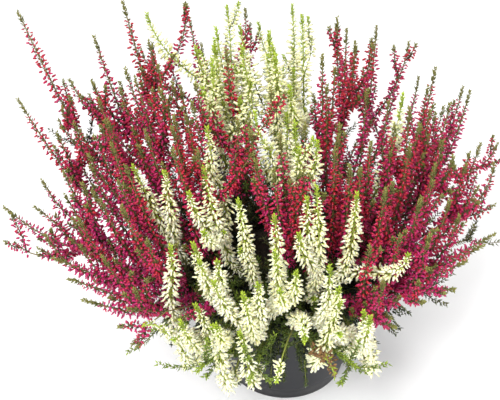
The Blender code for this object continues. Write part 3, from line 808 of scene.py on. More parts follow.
def bud_shape(profile):
    """A bell as (x, y, share of the length): rings of four, the last one round a shallow cup"""
    rings = []
    for i, (share, radius) in enumerate(profile):
        turn = turns(PETAL_COUNT) + PETAL_TWIST * i
        height = np.full(PETAL_COUNT, share)
        rings.append(np.stack([radius * np.cos(turn), radius * np.sin(turn), height], 1))
    ends = np.array([(0, 0, 0), (0, 0, profile[-1][0] - CUP)])
    count = PETAL_COUNT * len(rings)
    triangles = closed_rings(len(rings), PETAL_COUNT, count, count + 1)
    return np.concatenate(rings + [ends]), triangles


def leaf_shape():
    """A scale as (x, y, share of the length): a flat triangle at its foot, drawn to a point"""
    points = np.array([(-1.0, 0, 0.15), (1.0, 0, 0.15), (0, 0.7, 0.1), (0, 0.25, 1.0)])
    return points, np.array([(0, 2, 1), (0, 1, 3), (1, 2, 3), (2, 0, 3)])


def scatter(batch, shape, place, way, side, length, width, **marks):
    """Copies of a shape: a point (x, y, s) goes to place + s length way + x width side + y width
    the third direction.  Marks have one number for each copy, and along is the share s"""
    local, triangles = shape
    side = unit(side - (side * way).sum(1, keepdims=True) * way)
    third = np.cross(way, side)
    count = len(place)
    where = place[:, None] + local[None, :, 2:] * (way * length[:, None])[:, None]
    where = where + local[None, :, :1] * (side * width[:, None])[:, None]
    where = where + local[None, :, 1:2] * (third * width[:, None])[:, None]
    spread = {name: np.repeat(values, len(local)) for name, values in marks.items()}
    offset = np.arange(count)[:, None, None] * len(local)
    faces = (triangles[None] + offset).reshape(-1, 3)
    batch.add(where.reshape(-1, 3), faces, along=np.tile(local[:, 2], count), **spread)


SLIM_BUD, ROUND_BUD, LEAF = bud_shape(SLIM_RINGS), bud_shape(ROUND_RINGS), leaf_shape()
print("triangles of a bud", len(SLIM_BUD[1]), "and of a leaf", len(LEAF[1]))

# %% [markdown]
# ## Petals
#
# Red buds are crimson, some of them magenta, with a green-brown neck.  White ones are creamy
# with a yellow-green base.  The mesh carries where a point lies along its bud and a chance number
# for each bud, and the finish mixes its colours by them.


# %% Finishes of the petals
def petals(name, neck, body, other, tip, roughness=0.5, glow=0.4):
    """Petals whose colour runs from the neck to a lighter tip, partly a painted highlight, each
    bud between two body colours.  Glow is the share of the light that goes through them"""
    finish = Finish(name, roughness)
    along, chance = finish.marked("along"), finish.marked("chance")
    cloud = finish.noise(0.0012, 2.0)
    colour = finish.blend((chance + (cloud - 0.5) * 0.5).ramp(0.1, 0.9), body, other)
    # Towards its tip a bud turns lighter: partly its own paler tip, partly painted highlight
    colour = finish.blend(along.ramp(0.80, 1.0) * 0.7, colour, tip)
    colour = finish.blend(along.ramp(0.42, 0.16), colour, neck)
    finish.set(Base_Color=colour, Roughness=(roughness - 0.12) + cloud * 0.24)
    finish.bump(finish.noise(0.0006, 2.0), 0.0002)
    finish.set(Subsurface_Weight=glow, Subsurface_Scale=0.0015, Subsurface_Radius=(1.0, 0.8, 0.6))
    return finish


# The last colour of each is the lighter tip: partly the buds' own, partly painted highlight
crimson = petals(
    "crimson petals", (0.12, 0.045, 0.02), (0.43, 0.005, 0.020), (0.44, 0.007, 0.125),
    (0.60, 0.036, 0.13),
)
cream = petals(
    "cream petals", (0.48, 0.58, 0.06), (0.92, 0.90, 0.48), (0.96, 0.93, 0.68),
    (0.97, 0.95, 0.76),
)
cream_back = petals(
    "young cream petals", (0.36, 0.48, 0.05), (0.86, 0.86, 0.44), (0.93, 0.90, 0.60),
    (0.96, 0.93, 0.70),
)
withered = petals(
    "withered petals", (0.06, 0.03, 0.012), (0.13, 0.060, 0.020), (0.26, 0.14, 0.050),
    (0.40, 0.24, 0.10), 0.8, 0.1,
)
print("petal finishes ready")

# %% [markdown]
# ## Leaves and wood
#
# Scale leaves are nearly black-green inside the clump, part age and part painted shade, olive
# along the flowering part and fresh green at the tips: lime on the white plants.  The mark
# `young` says which.  The stems are brown where they are old and green where they are young.


# %% Finishes of the leaves and the wood
def leaves(name, old, middle, young):
    """Leaves whose colour goes by their age, lighter at their own tips; their nearly black oldest
    colour is partly painted shade
    """
    finish = Finish(name, 0.55)
    along, age, chance = finish.marked("along"), finish.marked("young"), finish.marked("chance")
    age = age + (chance - 0.5) * 0.2
    # Old colour: partly old leaves' own dark green, partly painted shade of the clump's inside
    colour = finish.blend(age.ramp(0.0, 0.5), old, middle)
    colour = finish.blend(age.ramp(0.5, 1.0), colour, young)
    colour = finish.blend(along.ramp(0.6, 1.0) * age.ramp(0.1, 0.9) * 0.45, colour, young)
    finish.set(Base_Color=colour, Roughness=0.45 + finish.noise(0.001, 2.0) * 0.25)
    finish.bump(finish.noise(0.0005, 2.0), 0.0001)
    return finish


def wood(name, old, young):
    """Bark with fine cracks, which turns green where the mark young is high"""
    finish = Finish(name, 0.8)
    age = finish.marked("young")
    cracks = finish.noise(0.0015, 4.0, 0.7)
    colour = finish.blend(age.ramp(0.2, 0.9), old, young)
    colour = finish.blend(cracks.ramp(0.5, 0.8) * 0.4, colour, (0.04, 0.024, 0.012))
    finish.set(Base_Color=colour, Roughness=0.65 + cracks * 0.3)
    finish.bump(cracks, 0.0004)
    return finish


# The first colour of each, nearly black, is partly old leaves' own and partly painted shade
red_green = leaves(
    "olive leaves", (0.006, 0.013, 0.004), (0.070, 0.084, 0.016), (0.23, 0.235, 0.045),
)
white_green = leaves(
    "lime leaves", (0.006, 0.014, 0.004), (0.12, 0.19, 0.017), (0.42, 0.56, 0.03),
)
bark = wood("heather bark", (0.075, 0.045, 0.018), (0.21, 0.17, 0.050))
lime_bark = wood("young heather bark", (0.070, 0.050, 0.018), (0.36, 0.44, 0.06))
print("leaf and bark finishes ready")

# %% [markdown]
# ## The spikes of buds
#
# Buds stand round the stem in a spiral, each a golden angle on from the last.  Near the tip they
# point up, in the middle outwards, and on the white plants the older ones hang down.  The red
# ones stand looser, so their stem shows.

# %% How each colour carries its buds
HABIT = {
    "red": {
        "shape": ROUND_BUD, "step": 0.73, "width": 0.93, "length": 0.62, "slack": 0.30,
        "necks": (0.0, 0.36),
        "tilt": ((0, 0.5, 0.85, 1), (108, 94, 74, 40)), "buds_end": 0.9,
        "side_shoots": (4, 2), "side_reach": 4.8,
    },
    "white": {
        "shape": SLIM_BUD, "step": 0.40, "width": 0.85, "length": 0.64, "slack": 0.18,
        "necks": (0.0, 0.42),
        "tilt": ((0, 0.5, 0.85, 1), (126, 118, 100, 50)), "buds_end": 0.97,
        "side_shoots": (1, 0), "side_reach": 5.6,
    },
    "back": {
        "shape": ROUND_BUD, "step": 0.66, "width": 0.92, "length": 0.76, "slack": 0.22,
        "necks": (0.0, 0.28),
        "tilt": ((0, 0.4, 0.8, 1), (108, 94, 74, 36)), "buds_end": 0.93,
        "side_shoots": (1, 1), "side_reach": 5.0,
    },
    "dried": {
        "shape": ROUND_BUD, "step": 0.6, "width": 0.95, "length": 0.6, "slack": 0.6,
        "necks": (0.0, 0.4),
        "tilt": ((0, 0.5, 1), (110, 95, 60)), "buds_end": 1.0,
        "side_shoots": (1, 0), "side_reach": 4.4,
    },
}
PETALS = {"red": crimson, "white": cream, "back": cream_back, "dried": withered}
SLOTS = {
    "red": "red_flowers", "white": "white_flowers",
    "back": "white_flowers", "dried": "dried_flowers",
}
TIP_SHARE = {"red": 0.08, "white": 0.06, "back": 0.09, "dried": 0.0}
print("habits:", *HABIT)


def habit_of(name):
    """Which habit a spray has, from its name"""
    if "white_back" in name:
        return "back"
    return name.split("_")[1]


# %% [markdown]
# A grown spike isn't bare below: short side shoots stand round its lower half, each with buds
# and a green tip of its own.  They are what makes a heather look full.

# %% A spike, and the short side shoots round it
SIDE_LENGTHS = (16.0, 40.0)
EARLY = {"red": 6.0, "white": 16.0, "back": 6.0}    # how far down the stem the first buds stand


def keep_over_rim(points, outside=OUTSIDE_POT):
    """Lift points that would lie in the soil, in the rim or in the pot's wall"""
    points[..., 2] = np.maximum(points[..., 2], lowest_at(points, outside))


class Spike:
    """A path that bears buds from a length on, and how far they reach at any length"""

    def __init__(self, path, spray, start, reach_lengths, reach_values, tip_share):
        self.path = path
        self.spray = spray
        self.start = start
        self.reach_lengths = reach_lengths
        self.reach_values = reach_values
        self.tip = start + (path.length - start) * (1 - tip_share)

    def reach_at(self, wanted):
        return np.interp(wanted, self.reach_lengths, self.reach_values)


def spike_start(i):
    """The length at which a shoot's flowers start: past its stem, or just off the main spike, or
    well along a side spike that first runs level"""
    if clump.tie[i]:
        rise = paths[i].line[-1, 2] - paths[i].line[0, 2]
        return (0.12 if rise > 0.5 * paths[i].length else 0.78) * paths[i].length
    early = EARLY.get(habit_of(clump.names[clump.spray[i]]), 0)
    return paths[i].at_controls[BASE] - early


def side_spikes(path, spray, start, count, kind):
    """Short shoots round a spike, from a little under its flowers to past its middle.  Each starts
    out from it and bends up along it: its points lie at 0.42 t out + 0.9 t to the power 1.5 on,
    of its length, and the ones further up are shorter"""
    low = start - 0.3 * (path.length - start)
    high = 0.55 * path.length + 0.45 * start
    share = np.sort(rng.uniform(0, 1, count))
    length_at = np.maximum(low, 0.1 * path.length) + share * (high - low)
    place, along, across, up = path.frame(length_at)
    turn = np.arange(count) * GOLDEN + rng.uniform(0, 6)
    out = towards(turn, across, up)
    long = np.interp(share, (0, 1), SIDE_LENGTHS[::-1]) * rng.uniform(0.75, 1.15, count)
    t = np.linspace(0, 1, 6)[None, :, None]
    on = unit(along + (0, 0, 0.6))
    bend = 0.42 * t * out[:, None] + 0.9 * t ** 1.5 * on[:, None]
    lines = place[:, None] + long[:, None, None] * bend
    spikes = []
    for line in lines:
        side = Path(line)
        widest = HABIT[kind]["side_reach"] * rng.uniform(0.8, 1.1)
        shares = side.length * np.array((0, 0.2, 0.7, 1.0))
        widths = widest * np.array((0.4, 1.0, 0.9, 0.4))
        tip = TIP_SHARE[kind] * rng.uniform(1.0, 1.7)
        spikes.append(Spike(side, spray, 0.12 * side.length, shares, widths, tip))
    return spikes


print("short side shoots of a red spike", HABIT["red"]["side_shoots"][0])

# %% [markdown]
# The solids have room for only some of the shoots, so three more kinds are added here.  Some fill
# the red masses, where the photograph shows tips.  Some stand between two shoots of their plant.
# And some white ones hang over the front of the pot.

# %% Shoots that fill the red masses
# Their tips, read off the photograph: across and down in its pixels
FILLERS = {
    "red_left": (
        (75, 83), (60, 125), (80, 130), (120, 88), (107, 120), (165, 100), (185, 115),
        (172, 127), (145, 130), (90, 165), (125, 165), (197, 150), (65, 195), (100, 200),
        (45, 235), (80, 245), (88, 98), (180, 86), (192, 102), (92, 190), (72, 218),
    ),
    "red_right": (
        (327, 85), (340, 125), (367, 90), (395, 125), (410, 145), (435, 165), (350, 165),
        (385, 190), (450, 200), (305, 125), (280, 135), (250, 130), (420, 200), (430, 235),
        (400, 235),
    ),
}
FILLER_DISTANCE = {"red_left": 175.0, "red_right": 161.0}
PICTURE_MIDDLE = (250, 200)


def direction_of(offset):
    """The azimuth and the lean of a direction from the clump's middle, in degrees"""
    x, y, z = offset
    return math.degrees(math.atan2(x, -y)), math.degrees(math.atan2(math.hypot(x, y), z))


def seen_at(across, down, distance):
    """The azimuth and lean at which the camera's ray through a place in the picture first meets
    a sphere of this radius round the clump's middle"""
    tilt = math.radians(LOOK_DOWN)
    right, down_way = across - PICTURE_MIDDLE[0], down - PICTURE_MIDDLE[1]
    ray = FOCAL_PIXELS * np.array((0, math.cos(tilt), -math.sin(tilt))) + (right, 0, 0)
    ray = unit(ray - down_way * np.array((0, math.sin(tilt), math.cos(tilt))))
    offset = np.array(CAMERA_PLACE) / MM - CLUMP_MIDDLE
    nearest_by = -offset @ ray
    half = max(nearest_by ** 2 - offset @ offset + distance ** 2, 0) ** 0.5
    return direction_of(offset + (nearest_by - half) * ray)


def filler_spikes():
    """Shoots made by the rule of the others, each to a tip of the table above"""
    spikes = []
    for plant, tips in FILLERS.items():
        sprays = [number for number, name in enumerate(clump.names) if "spray_" + plant in name]
        for k, tip in enumerate(tips):
            distance = FILLER_DISTANCE[plant] * rng.uniform(0.96, 1.02)
            direction = (*seen_at(*tip, distance), distance)
            line = main_shoot(CROWNS[plant][0], direction, SPIKE_LENGTH["red"])
            keep_over_rim(line)
            path = Path(line)
            widths = np.concatenate([np.full(BASE, LEAF_REACH), spike_reach("red", BASE)])
            start = path.at_controls[BASE] - EARLY["red"]
            share = TIP_SHARE["red"] * rng.uniform(0.5, 1.2)
            spray = sprays[k % len(sprays)]
            spikes.append(Spike(path, spray, start, path.at_controls, widths, share))
    return spikes


print("tips that fill", sum(len(tips) for tips in FILLERS.values()))

# %% Shoots between the others
WINDOW = (-66, 40, 33, 52)   # azimuths and leans where only white spikes stand in front
NEAR_TIPS = 60.0             # tips farther apart than this have no shoot between them
LONGEST = 192.0              # a shoot longer than this stands alone


def between_spikes():
    """A spike between each shoot and the nearest ones of its plant: its points lie a share of the
    way from one shoot's to the other's, and it ends a little lower"""
    rooted = [
        i for i in range(len(paths))
        if not clump.tie[i] and clump.piece[i][-1] == clump.spray[i]
        and "white_front" not in clump.names[clump.spray[i]]
        and np.linalg.norm(points[i][-1] - CLUMP_MIDDLE) < LONGEST
    ]
    found = set()
    for i in rooted:
        kin = [j for j in rooted if j != i and clump.piece[j][0] == clump.piece[i][0]]
        apart = {j: np.linalg.norm(points[i][-1] - points[j][-1]) for j in kin}
        near = sorted((j for j in kin if apart[j] < NEAR_TIPS), key=apart.get)[:2]
        found.update((min(i, j), max(i, j)) for j in near)
    spikes = []
    for i, j in sorted(found):
        kind = habit_of(clump.names[clump.spray[i]])
        share = rng.uniform(0.35, 0.65)
        line = points[i] + share * (points[j] - points[i])
        azimuth, lean = direction_of(line[-1] - CLUMP_MIDDLE)
        if WINDOW[0] < azimuth < WINDOW[1] and WINDOW[2] < lean < WINDOW[3]:
            continue
        line = line[:len(line) - rng.integers(0, 4)]
        keep_over_rim(line)
        path = Path(line)
        widths = reach[i][:len(line)] * rng.uniform(0.85, 1.0)
        start = path.at_controls[BASE] - EARLY.get(kind, 0)
        tip = TIP_SHARE[kind] * rng.uniform(0.5, 1.2)
        spikes.append(Spike(path, clump.spray[i], start, path.at_controls, widths, tip))
    return spikes


print("tips nearer than", NEAR_TIPS, "mm get a shoot between them")

# %% White spikes that hang over the pot's front
# For the lowest point and for the tip: the azimuth, the distance from the pot's middle
# line and the height
HANGING = (
    ((-18, 122, 98), (-21, 132, 160)),
    ((-11, 120, 104), (-14, 130, 158)),
    ((-31, 118, 102), (-33, 130, 140)),
    ((8, 108, 108), (12, 124, 178)),
    ((26, 114, 98), (18, 126, 168)),
    ((-22, 112, 106), (-27, 126, 166)),
    ((-40, 112, 128), (-36, 120, 198)),
)
PASS_HEIGHT = 110.0          # at which they pass over the rim


def hanging_spikes():
    """Each runs from the front crown over the rim to its lowest point, and turns up to its tip"""
    spray = clump.number("spray_white_front_10")
    spikes = []
    for low, tip in HANGING:
        ends = []
        for azimuth, distance, height in (low, tip):
            turn = np.radians(azimuth)
            ends.append(np.array((distance * np.sin(turn), -distance * np.cos(turn), height)))
        foot, top = ends
        crown = np.array((*CROWNS["white_front"][0], CROWN_TOP))
        rim = foot * (0.6, 0.6, 0) + (0, 0, PASS_HEIGHT)
        over = foot * (0.85, 0.85, 0) + (0, 0, 0.35 * foot[2] + 0.65 * (PASS_HEIGHT - 2.0))
        up = foot + 0.3 * (top - foot) + (foot - rim) * (0.06, 0.06, 0)
        path = Path(np.array((crown, rim, over, foot, up, foot + 0.65 * (top - foot), top)))
        start = path.at_controls[3] - 14.0
        shares = start + (path.length - start) * np.array(SPIKE_AT)
        widths = SPIKE_REACH["white"] * np.array(SPIKE_WIDTH)
        spikes.append(Spike(path, spray, start, shares, widths, 0.08))
    return spikes


print("hanging spikes", len(HANGING))


# %% List every spike
def all_spikes():
    """The spikes of the clump, the ones between and in front, and the short ones round each"""
    long, short = [], []
    for i, path in enumerate(paths):
        if clump.piece[i][-1] != clump.spray[i]:
            continue
        kind = habit_of(clump.names[clump.spray[i]])
        start = spike_start(i)
        tip = TIP_SHARE[kind] * rng.uniform(0.6, 1.3)
        long.append(Spike(path, clump.spray[i], start, path.at_controls, reach[i], tip))
        count = HABIT[kind]["side_shoots"][1 if clump.tie[i] else 0]
        short += side_spikes(path, clump.spray[i], start, count, kind)
    return long, between_spikes() + filler_spikes() + hanging_spikes(), short


long_spikes, more_spikes, short_spikes = all_spikes()
print("spikes", len(long_spikes), "between", len(more_spikes), "and short", len(short_spikes))


# %% Set the buds
LOW_TO_HIGH = (110.0, 230.0)     # heights between which the red turns from magenta to crimson


def add_buds(batch, spike, habit):
    """Buds along a spike up to its green tip.  Bud i stands at start + i step, turned i golden
    angles round the path, and leans from it by the habit's tilt"""
    path = spike.path
    end = spike.start + (spike.tip - spike.start) * (0.5 + 0.5 * habit["buds_end"]) + 1.0
    count = int((end - spike.start) / habit["step"])
    number = np.arange(count)
    length_at = spike.start + (number + rng.uniform(0, 0.9, count)) * habit["step"]
    place, along, across, up = path.frame(length_at)
    turn = number * GOLDEN + rng.normal(0, 0.25, count)
    out = towards(turn, across, up)
    share = (length_at - spike.start) / (path.length - spike.start)
    tilt = np.radians(np.interp(share, *habit["tilt"])) + rng.normal(0, habit["slack"], count)
    way = unit(towards(tilt, along, out))
    width = spike.reach_at(length_at)
    place = place + (width * rng.uniform(*habit["necks"], count))[:, None] * out
    long = width * habit["length"] * rng.uniform(0.85, 1.15, count)
    wide = habit["width"] * np.clip(width / width.max(), 0.5, 1) * rng.uniform(0.8, 1.15, count)
    tone = np.interp(place[:, 2], LOW_TO_HIGH, (0.36, -0.32)) + rng.uniform(-0.3, 0.3)
    chance = np.clip(rng.uniform(0.1, 0.9, count) + tone, 0, 1)
    scatter(batch, habit["shape"], place, way, along, long, wide, chance=chance)
    return count


def make_flowers(name):
    """All the buds of one spray, in one piece"""
    number = clump.number(name)
    kind = habit_of(name)
    batch = Batch("along", "chance")
    own = [item for item in long_spikes + more_spikes + short_spikes if item.spray == number]
    count = sum(add_buds(batch, spike, HABIT[kind]) for spike in own)
    batch.piece(name + "_buds", PETALS[kind], SLOTS[kind], name)
    return count


bud_total = sum(make_flowers(name) for name in clump.names if name.startswith("spray_"))
print("buds", bud_total)

# %% [markdown]
# ## Stems, scale leaves and the dark inside of the clump
#
# Every stem is a thin tapering tube.  Scale leaves stand on it in pairs, each pair turned a
# quarter from the last.  They are close at the tips, thin among the buds, and on the old wood
# they sit on short side twigs, which fill the clump and make its inside dark, together with
# painted shade in their nearly black leaves.

# %% Rows of leaves
# For each kind of row: the step between leaves, how far they lean from the stem, and their length
# and age at the row's start and end.  A low age makes the leaves nearly black: partly old
# leaves' own colour, partly painted shade inside the clump
ON_OLD_WOOD = {"step": 1.2, "tilt": 46, "length": (3.4, 3.0), "young": (-0.05, 0.30)}
ON_LEAFY_END = {"step": 0.5, "tilt": 52, "length": (4.0, 3.0), "young": (0.2, 0.8)}
ON_TWIG = {"tilt": 52, "length": (3.8, 3.0), "width": 0.80}
AMONG_RED = {"step": 0.95, "tilt": 55, "length": (3.2, 2.8), "young": (0.1, 0.6)}
AMONG_WHITE = {"step": 1.3, "tilt": 55, "length": (3.2, 2.8), "young": (0.7, 0.95)}
TIPS = {"step": 0.5, "tilt": 46, "young": (0.65, 1.0), "width": 0.85}
RED_TIPS, WHITE_TIPS = {"length": (3.0, 2.0), **TIPS}, {"length": (3.3, 2.1), **TIPS}


def add_leaves(batch, path, start, end, step, tilt, length, young, width=0.62):
    """Pairs of scale leaves along a path, each pair a quarter turn on from the last"""
    count = max(int((end - start) / step), 2)
    length_at = np.linspace(start, end, count)
    place, along, across, up = path.frame(length_at)
    number = np.arange(count)
    turn = (number // 2) * np.pi / 2 + (number % 2) * np.pi + rng.normal(0, 0.3, count)
    out = towards(turn, across, up)
    lean = np.radians(tilt) + rng.normal(0, 0.15, count)
    way = unit(towards(lean, along, out))
    share = number / (count - 1)
    long = (length[0] + share * (length[1] - length[0])) * rng.uniform(0.8, 1.2, count)
    age = young[0] + share * (young[1] - young[0])
    side = np.cross(along, out)
    chance = rng.uniform(0, 1, count)
    wide = np.full(count, width)
    scatter(batch, LEAF, place + 0.3 * out, way, side, long, wide, young=age, chance=chance)
    return count


print("step between the leaves of a tip", TIPS["step"], "mm")

# %% Twigs
TWIGS = 9                # on each stem
TWIG_LENGTHS = (14.0, 30.0)
TWIG_STEP, SKIRT_STEP = 0.9, 0.5     # between the leaves of a twig, inside and over the rim


def add_twig(wood_batch, leaf_batch, line, young, step):
    """A thin twig with leaves in turned pairs all along it"""
    twig = Path(line)
    stops = np.linspace(0, twig.length, 5)
    tube(wood_batch, twig, stops, np.linspace(0.45, 0.2, 5), 3, young=0.5)
    add_leaves(leaf_batch, twig, 1.0, twig.length, step, young=young, **ON_TWIG)


def add_twigs(wood_batch, leaf_batch, path, start, end, young):
    """Short side twigs, the outer ones younger and the inner ones darker, partly as painted shade.
    A twig starts out from the stem and bends up: its points lie at t out + 0.45 t squared up, of
    its length"""
    length_at = np.sort(rng.uniform(start, end, TWIGS))
    place, along, across, up = path.frame(length_at)
    turn = np.arange(TWIGS) * GOLDEN + rng.uniform(0, 6, 1)
    out = towards(turn, across, up)
    way = unit(0.8 * out + 0.7 * along)
    long = rng.uniform(*TWIG_LENGTHS, TWIGS)
    t = np.linspace(0, 1, 6)[None, :, None]
    bend = np.array((0, 0, 0.45))
    lines = place[:, None] + long[:, None, None] * (t * way[:, None] + t ** 2 * bend)
    keep_over_rim(lines)
    for line, share in zip(lines, (length_at - start) / (end - start)):
        age = (young[0] + 0.10 * share, young[1] + 0.22 * share)
        add_twig(wood_batch, leaf_batch, line, age, TWIG_STEP)


print("twigs on a stem", TWIGS)

# %% The wood and the leaves of a plant
ROOT_RADIUS, SPIKE_RADIUS, TIP_RADIUS = 1.5, 0.75, 0.35


def stem_marks(stops, sides, length):
    """How young a stem is at each point of its tube, and at its two ends"""
    return np.concatenate([np.repeat(stops / length, sides), [0, 1]])


def add_spike_greens(wood_batch, leaf_batch, spike, kind, short):
    """The stem of a spike, the leaves among its buds and its leafy tip"""
    path = spike.path
    if short:
        count = 6 + int(path.length / 12)
        stops = np.linspace(0, path.length, count)
        radius = np.linspace(0.5 + path.length / 300, TIP_RADIUS, count)
        tube(wood_batch, path, stops, radius, 4, young=stem_marks(stops, 4, path.length))
    among, tips = (AMONG_RED, RED_TIPS) if kind == "red" else (AMONG_WHITE, WHITE_TIPS)
    add_leaves(leaf_batch, path, spike.start, spike.tip, **among)
    if kind != "dried":
        add_leaves(leaf_batch, path, max(spike.tip - 2.0, 0), path.length, **tips)


def dress_plant(plant):
    """The wood and the leaves of one plant, with those among its flowers"""
    own = clump.number("plant_" + plant)
    kind = "back" if plant == "white_back" else CROWNS[plant][1]
    wood_batch = Batch("young")
    leaf_batch = Batch("along", "young", "chance")
    sprays = {clump.spray[i] for i in range(len(paths)) if clump.piece[i][0] == own}
    for i, path in enumerate(paths):
        if clump.spray[i] not in sprays:
            continue
        rooted = clump.piece[i][0] == own
        stops = np.linspace(0, path.length, 26 if rooted else 10)
        thick = (ROOT_RADIUS, SPIKE_RADIUS, TIP_RADIUS) if rooted else (0.6, 0.5, TIP_RADIUS)
        radius = np.interp(stops / path.length, (0, 0.5, 1), thick)
        tube(wood_batch, path, stops, radius, 5, young=stem_marks(stops, 5, path.length))
        if rooted:
            flowers = spike_start(i)
            add_leaves(leaf_batch, path, 8.0, flowers, **ON_OLD_WOOD)
            # Low ages: these inner twigs' leaves are dark, partly as painted shade
            add_twigs(wood_batch, leaf_batch, path, 6.0, flowers, (-0.1, 0.22))
            if clump.piece[i][-1] == own:
                add_leaves(leaf_batch, path, flowers, path.length, **ON_LEAFY_END)
                add_twigs(wood_batch, leaf_batch, path, flowers - 20.0, path.length, (0.15, 0.5))
    for spikes, short in ((long_spikes, False), (more_spikes, True), (short_spikes, True)):
        for spike in spikes:
            if spike.spray in sprays:
                mood = "dried" if "dried" in clump.names[spike.spray] else kind
                add_spike_greens(wood_batch, leaf_batch, spike, mood, short)
    root_in(wood_batch, plant)
    for row in SKIRTS[plant]:
        add_skirt(wood_batch, leaf_batch, *row)
    greens, skin = (red_green, bark) if kind == "red" else (white_green, lime_bark)
    node = "plant_" + plant
    stems = wood_batch.piece(node + "_wood", skin, "stems", node)
    leaf = leaf_batch.piece(node + "_leaves", greens, "stems", node)
    print(node, len(stems.data.polygons), len(leaf.data.polygons))


# %% [markdown]
# Under the flowers, dark leafy twigs lean out over the rim and hang down a little beside the
# pot.  Their leaves are painted nearly black as shade.

# %% The dark fringe over the rim
# For each plant: first and last azimuth from the viewer to the right, how many, the shortest and
# the longest, and the least and the most that they droop
SKIRTS = {
    "white_front": (
        (-66, 62, 56, 28, 54, -6, 26), (-36, 42, 54, 22, 32, 10, 34),
        (-78, -34, 20, 30, 62, 4, 34),
    ),
    "red_right": ((62, 150, 28, 22, 54, -6, 26),),
    "red_left": ((-155, -66, 30, 22, 54, -6, 26),),
    "white_back": ((150, 205, 14, 22, 54, -6, 26),),
}
BESIDE_WALL = 65.0       # distance from the middle at which a twig hangs just clear of the rim
SKIRT_START = 44.0       # and at which it leaves the soil
SKIRT_RISE = 8.0         # how high over the soil it starts
SKIRT_HUMP = 16.0        # how much it rises on its way over the rim


def add_skirt(wood_batch, leaf_batch, first, last, count, short, long, least, most):
    """Twigs that start on the soil inside the rim, pass over it and droop: a point lies at t out,
    with a height of a low hump less a drop of t squared"""
    azimuth = np.radians(np.linspace(first, last, count) + rng.normal(0, 3.0, count))
    flat = np.stack([np.sin(azimuth), -np.cos(azimuth)], 1)
    run = rng.uniform(short, long, count)
    drop = rng.uniform(least, most, count)
    t = np.linspace(0, 1, 9)[None, :]
    distance = SKIRT_START + run[:, None] * t
    hump = SKIRT_HUMP * np.sin(np.pi * np.minimum(t * 1.2, 1)) ** 0.5
    height = SOIL_TOP + SKIRT_RISE + hump - drop[:, None] * t ** 2
    lines = np.concatenate([flat[:, None] * distance[..., None], height[..., None]], -1)
    keep_over_rim(lines, BESIDE_WALL)
    for line in lines:
        # Painted shade: very low ages make these leaves nearly black
        add_twig(wood_batch, leaf_batch, line, (-0.2, 0.15), SKIRT_STEP)


print("twigs over the rim", sum(row[2] for rows in SKIRTS.values() for row in rows))

# %% The crowns, and every plant's greens
CROWN_RADIUS = 6.0
CROWN_DEPTH = 24.0       # how deep a crown stands in its hole
KNOT_SIDES = 20
KNOT_INSET = 0.6         # so that the waves of a crown stay in its hole


def root_in(batch, plant):
    """The crown: a knotty post from its hole in the soil up to where its stems leave it.  Its
    radius at a turn a and a height is a circle's with three low waves"""
    middle = CROWNS[plant][0]
    heights = np.linspace(SOIL_TOP - CROWN_DEPTH, CROWN_TOP, 12)
    shrink = np.interp(heights, (heights[0], CROWN_TOP - 3, CROWN_TOP), (0.75, 1.0, 0.7))
    waves = 1 + 0.10 * np.sin(3 * turns(KNOT_SIDES)[None] + heights[:, None] * 0.2)
    radius = (CROWN_RADIUS - KNOT_INSET) * shrink[:, None] * waves
    rings = round_rings(radius, heights[:, None], KNOT_SIDES, middle)
    batch.add_rings(rings, (*middle, heights[0]), (*middle, CROWN_TOP + 1.0), young=0.0)


for plant in CROWNS:
    dress_plant(plant)

# %% [markdown]
# ## The soil
#
# Peat is a mound of crumbs.  Its top is a round grid, raised as a low mound, with lumps of two
# sizes from a noise made of chance numbers.  Loose crumbs lie on it.


# %% Heights of the model's pot and soil
FOOT_RADIUS = 44.0
FOOT_STEP = 1.2          # how far the foot is set back
LIP_HEIGHT = 8.0
WALL_TOP_RADIUS = 57.0   # outside of the wall just under the lip
WALL = 2.2
FLOOR = 3.0
LIP_DEPTH = 2.0          # how far the lip's slope reaches down inside
SOIL_MOUND = 2.0         # how much higher the soil is in the middle
SOIL_BUMP = 0.8
SOIL_LEVEL_EDGE = 50.0   # past this distance from the middle the soil is level
SOIL_SLOPE = 10.0        # width of the mound's edge


def wall_radius(height):
    """Outside of the pot's wall at a height"""
    share = height / (POT_HEIGHT - LIP_HEIGHT)
    return FOOT_RADIUS + FOOT_STEP + share * (WALL_TOP_RADIUS - FOOT_RADIUS - FOOT_STEP)


def soil_height(x, y):
    """Height of the soil's top: a low mound with small bumps, level near the pot's wall"""
    distance = math.hypot(x, y)
    inner = min(max((SOIL_LEVEL_EDGE - distance) / SOIL_SLOPE, 0.0), 1.0)
    bumps = SOIL_BUMP * math.sin(x * 0.31 + 1.0) * math.cos(y * 0.27)
    return SOIL_TOP + inner * (SOIL_MOUND + bumps)


print("pot under its lip", 2 * wall_radius(POT_HEIGHT - LIP_HEIGHT), "mm across")

# %% Make the soil
GAP = 0.3                # between two pieces that touch
SOIL_SIDES, SOIL_SIDE_RINGS, SOIL_TOP_RINGS = 100, 6, 30
CRUMBS = 400


def peat():
    """Dark moist peat with lighter fibres and a few pale grains"""
    finish = Finish("moist peat", 0.95)
    lumps = finish.noise(0.004, 5.0, 0.7)
    fibres = finish.noise(0.0012, 4.0, 0.75)
    colour = finish.blend(lumps.ramp(0.35, 0.7), (0.011, 0.007, 0.004), (0.050, 0.030, 0.017))
    colour = finish.blend(fibres.ramp(0.60, 0.74), colour, (0.14, 0.085, 0.045))
    finish.set(Base_Color=colour, Roughness=0.85 + lumps * 0.15)
    finish.bump(lumps + fibres * 0.6, 0.0016, 0.9)
    return finish


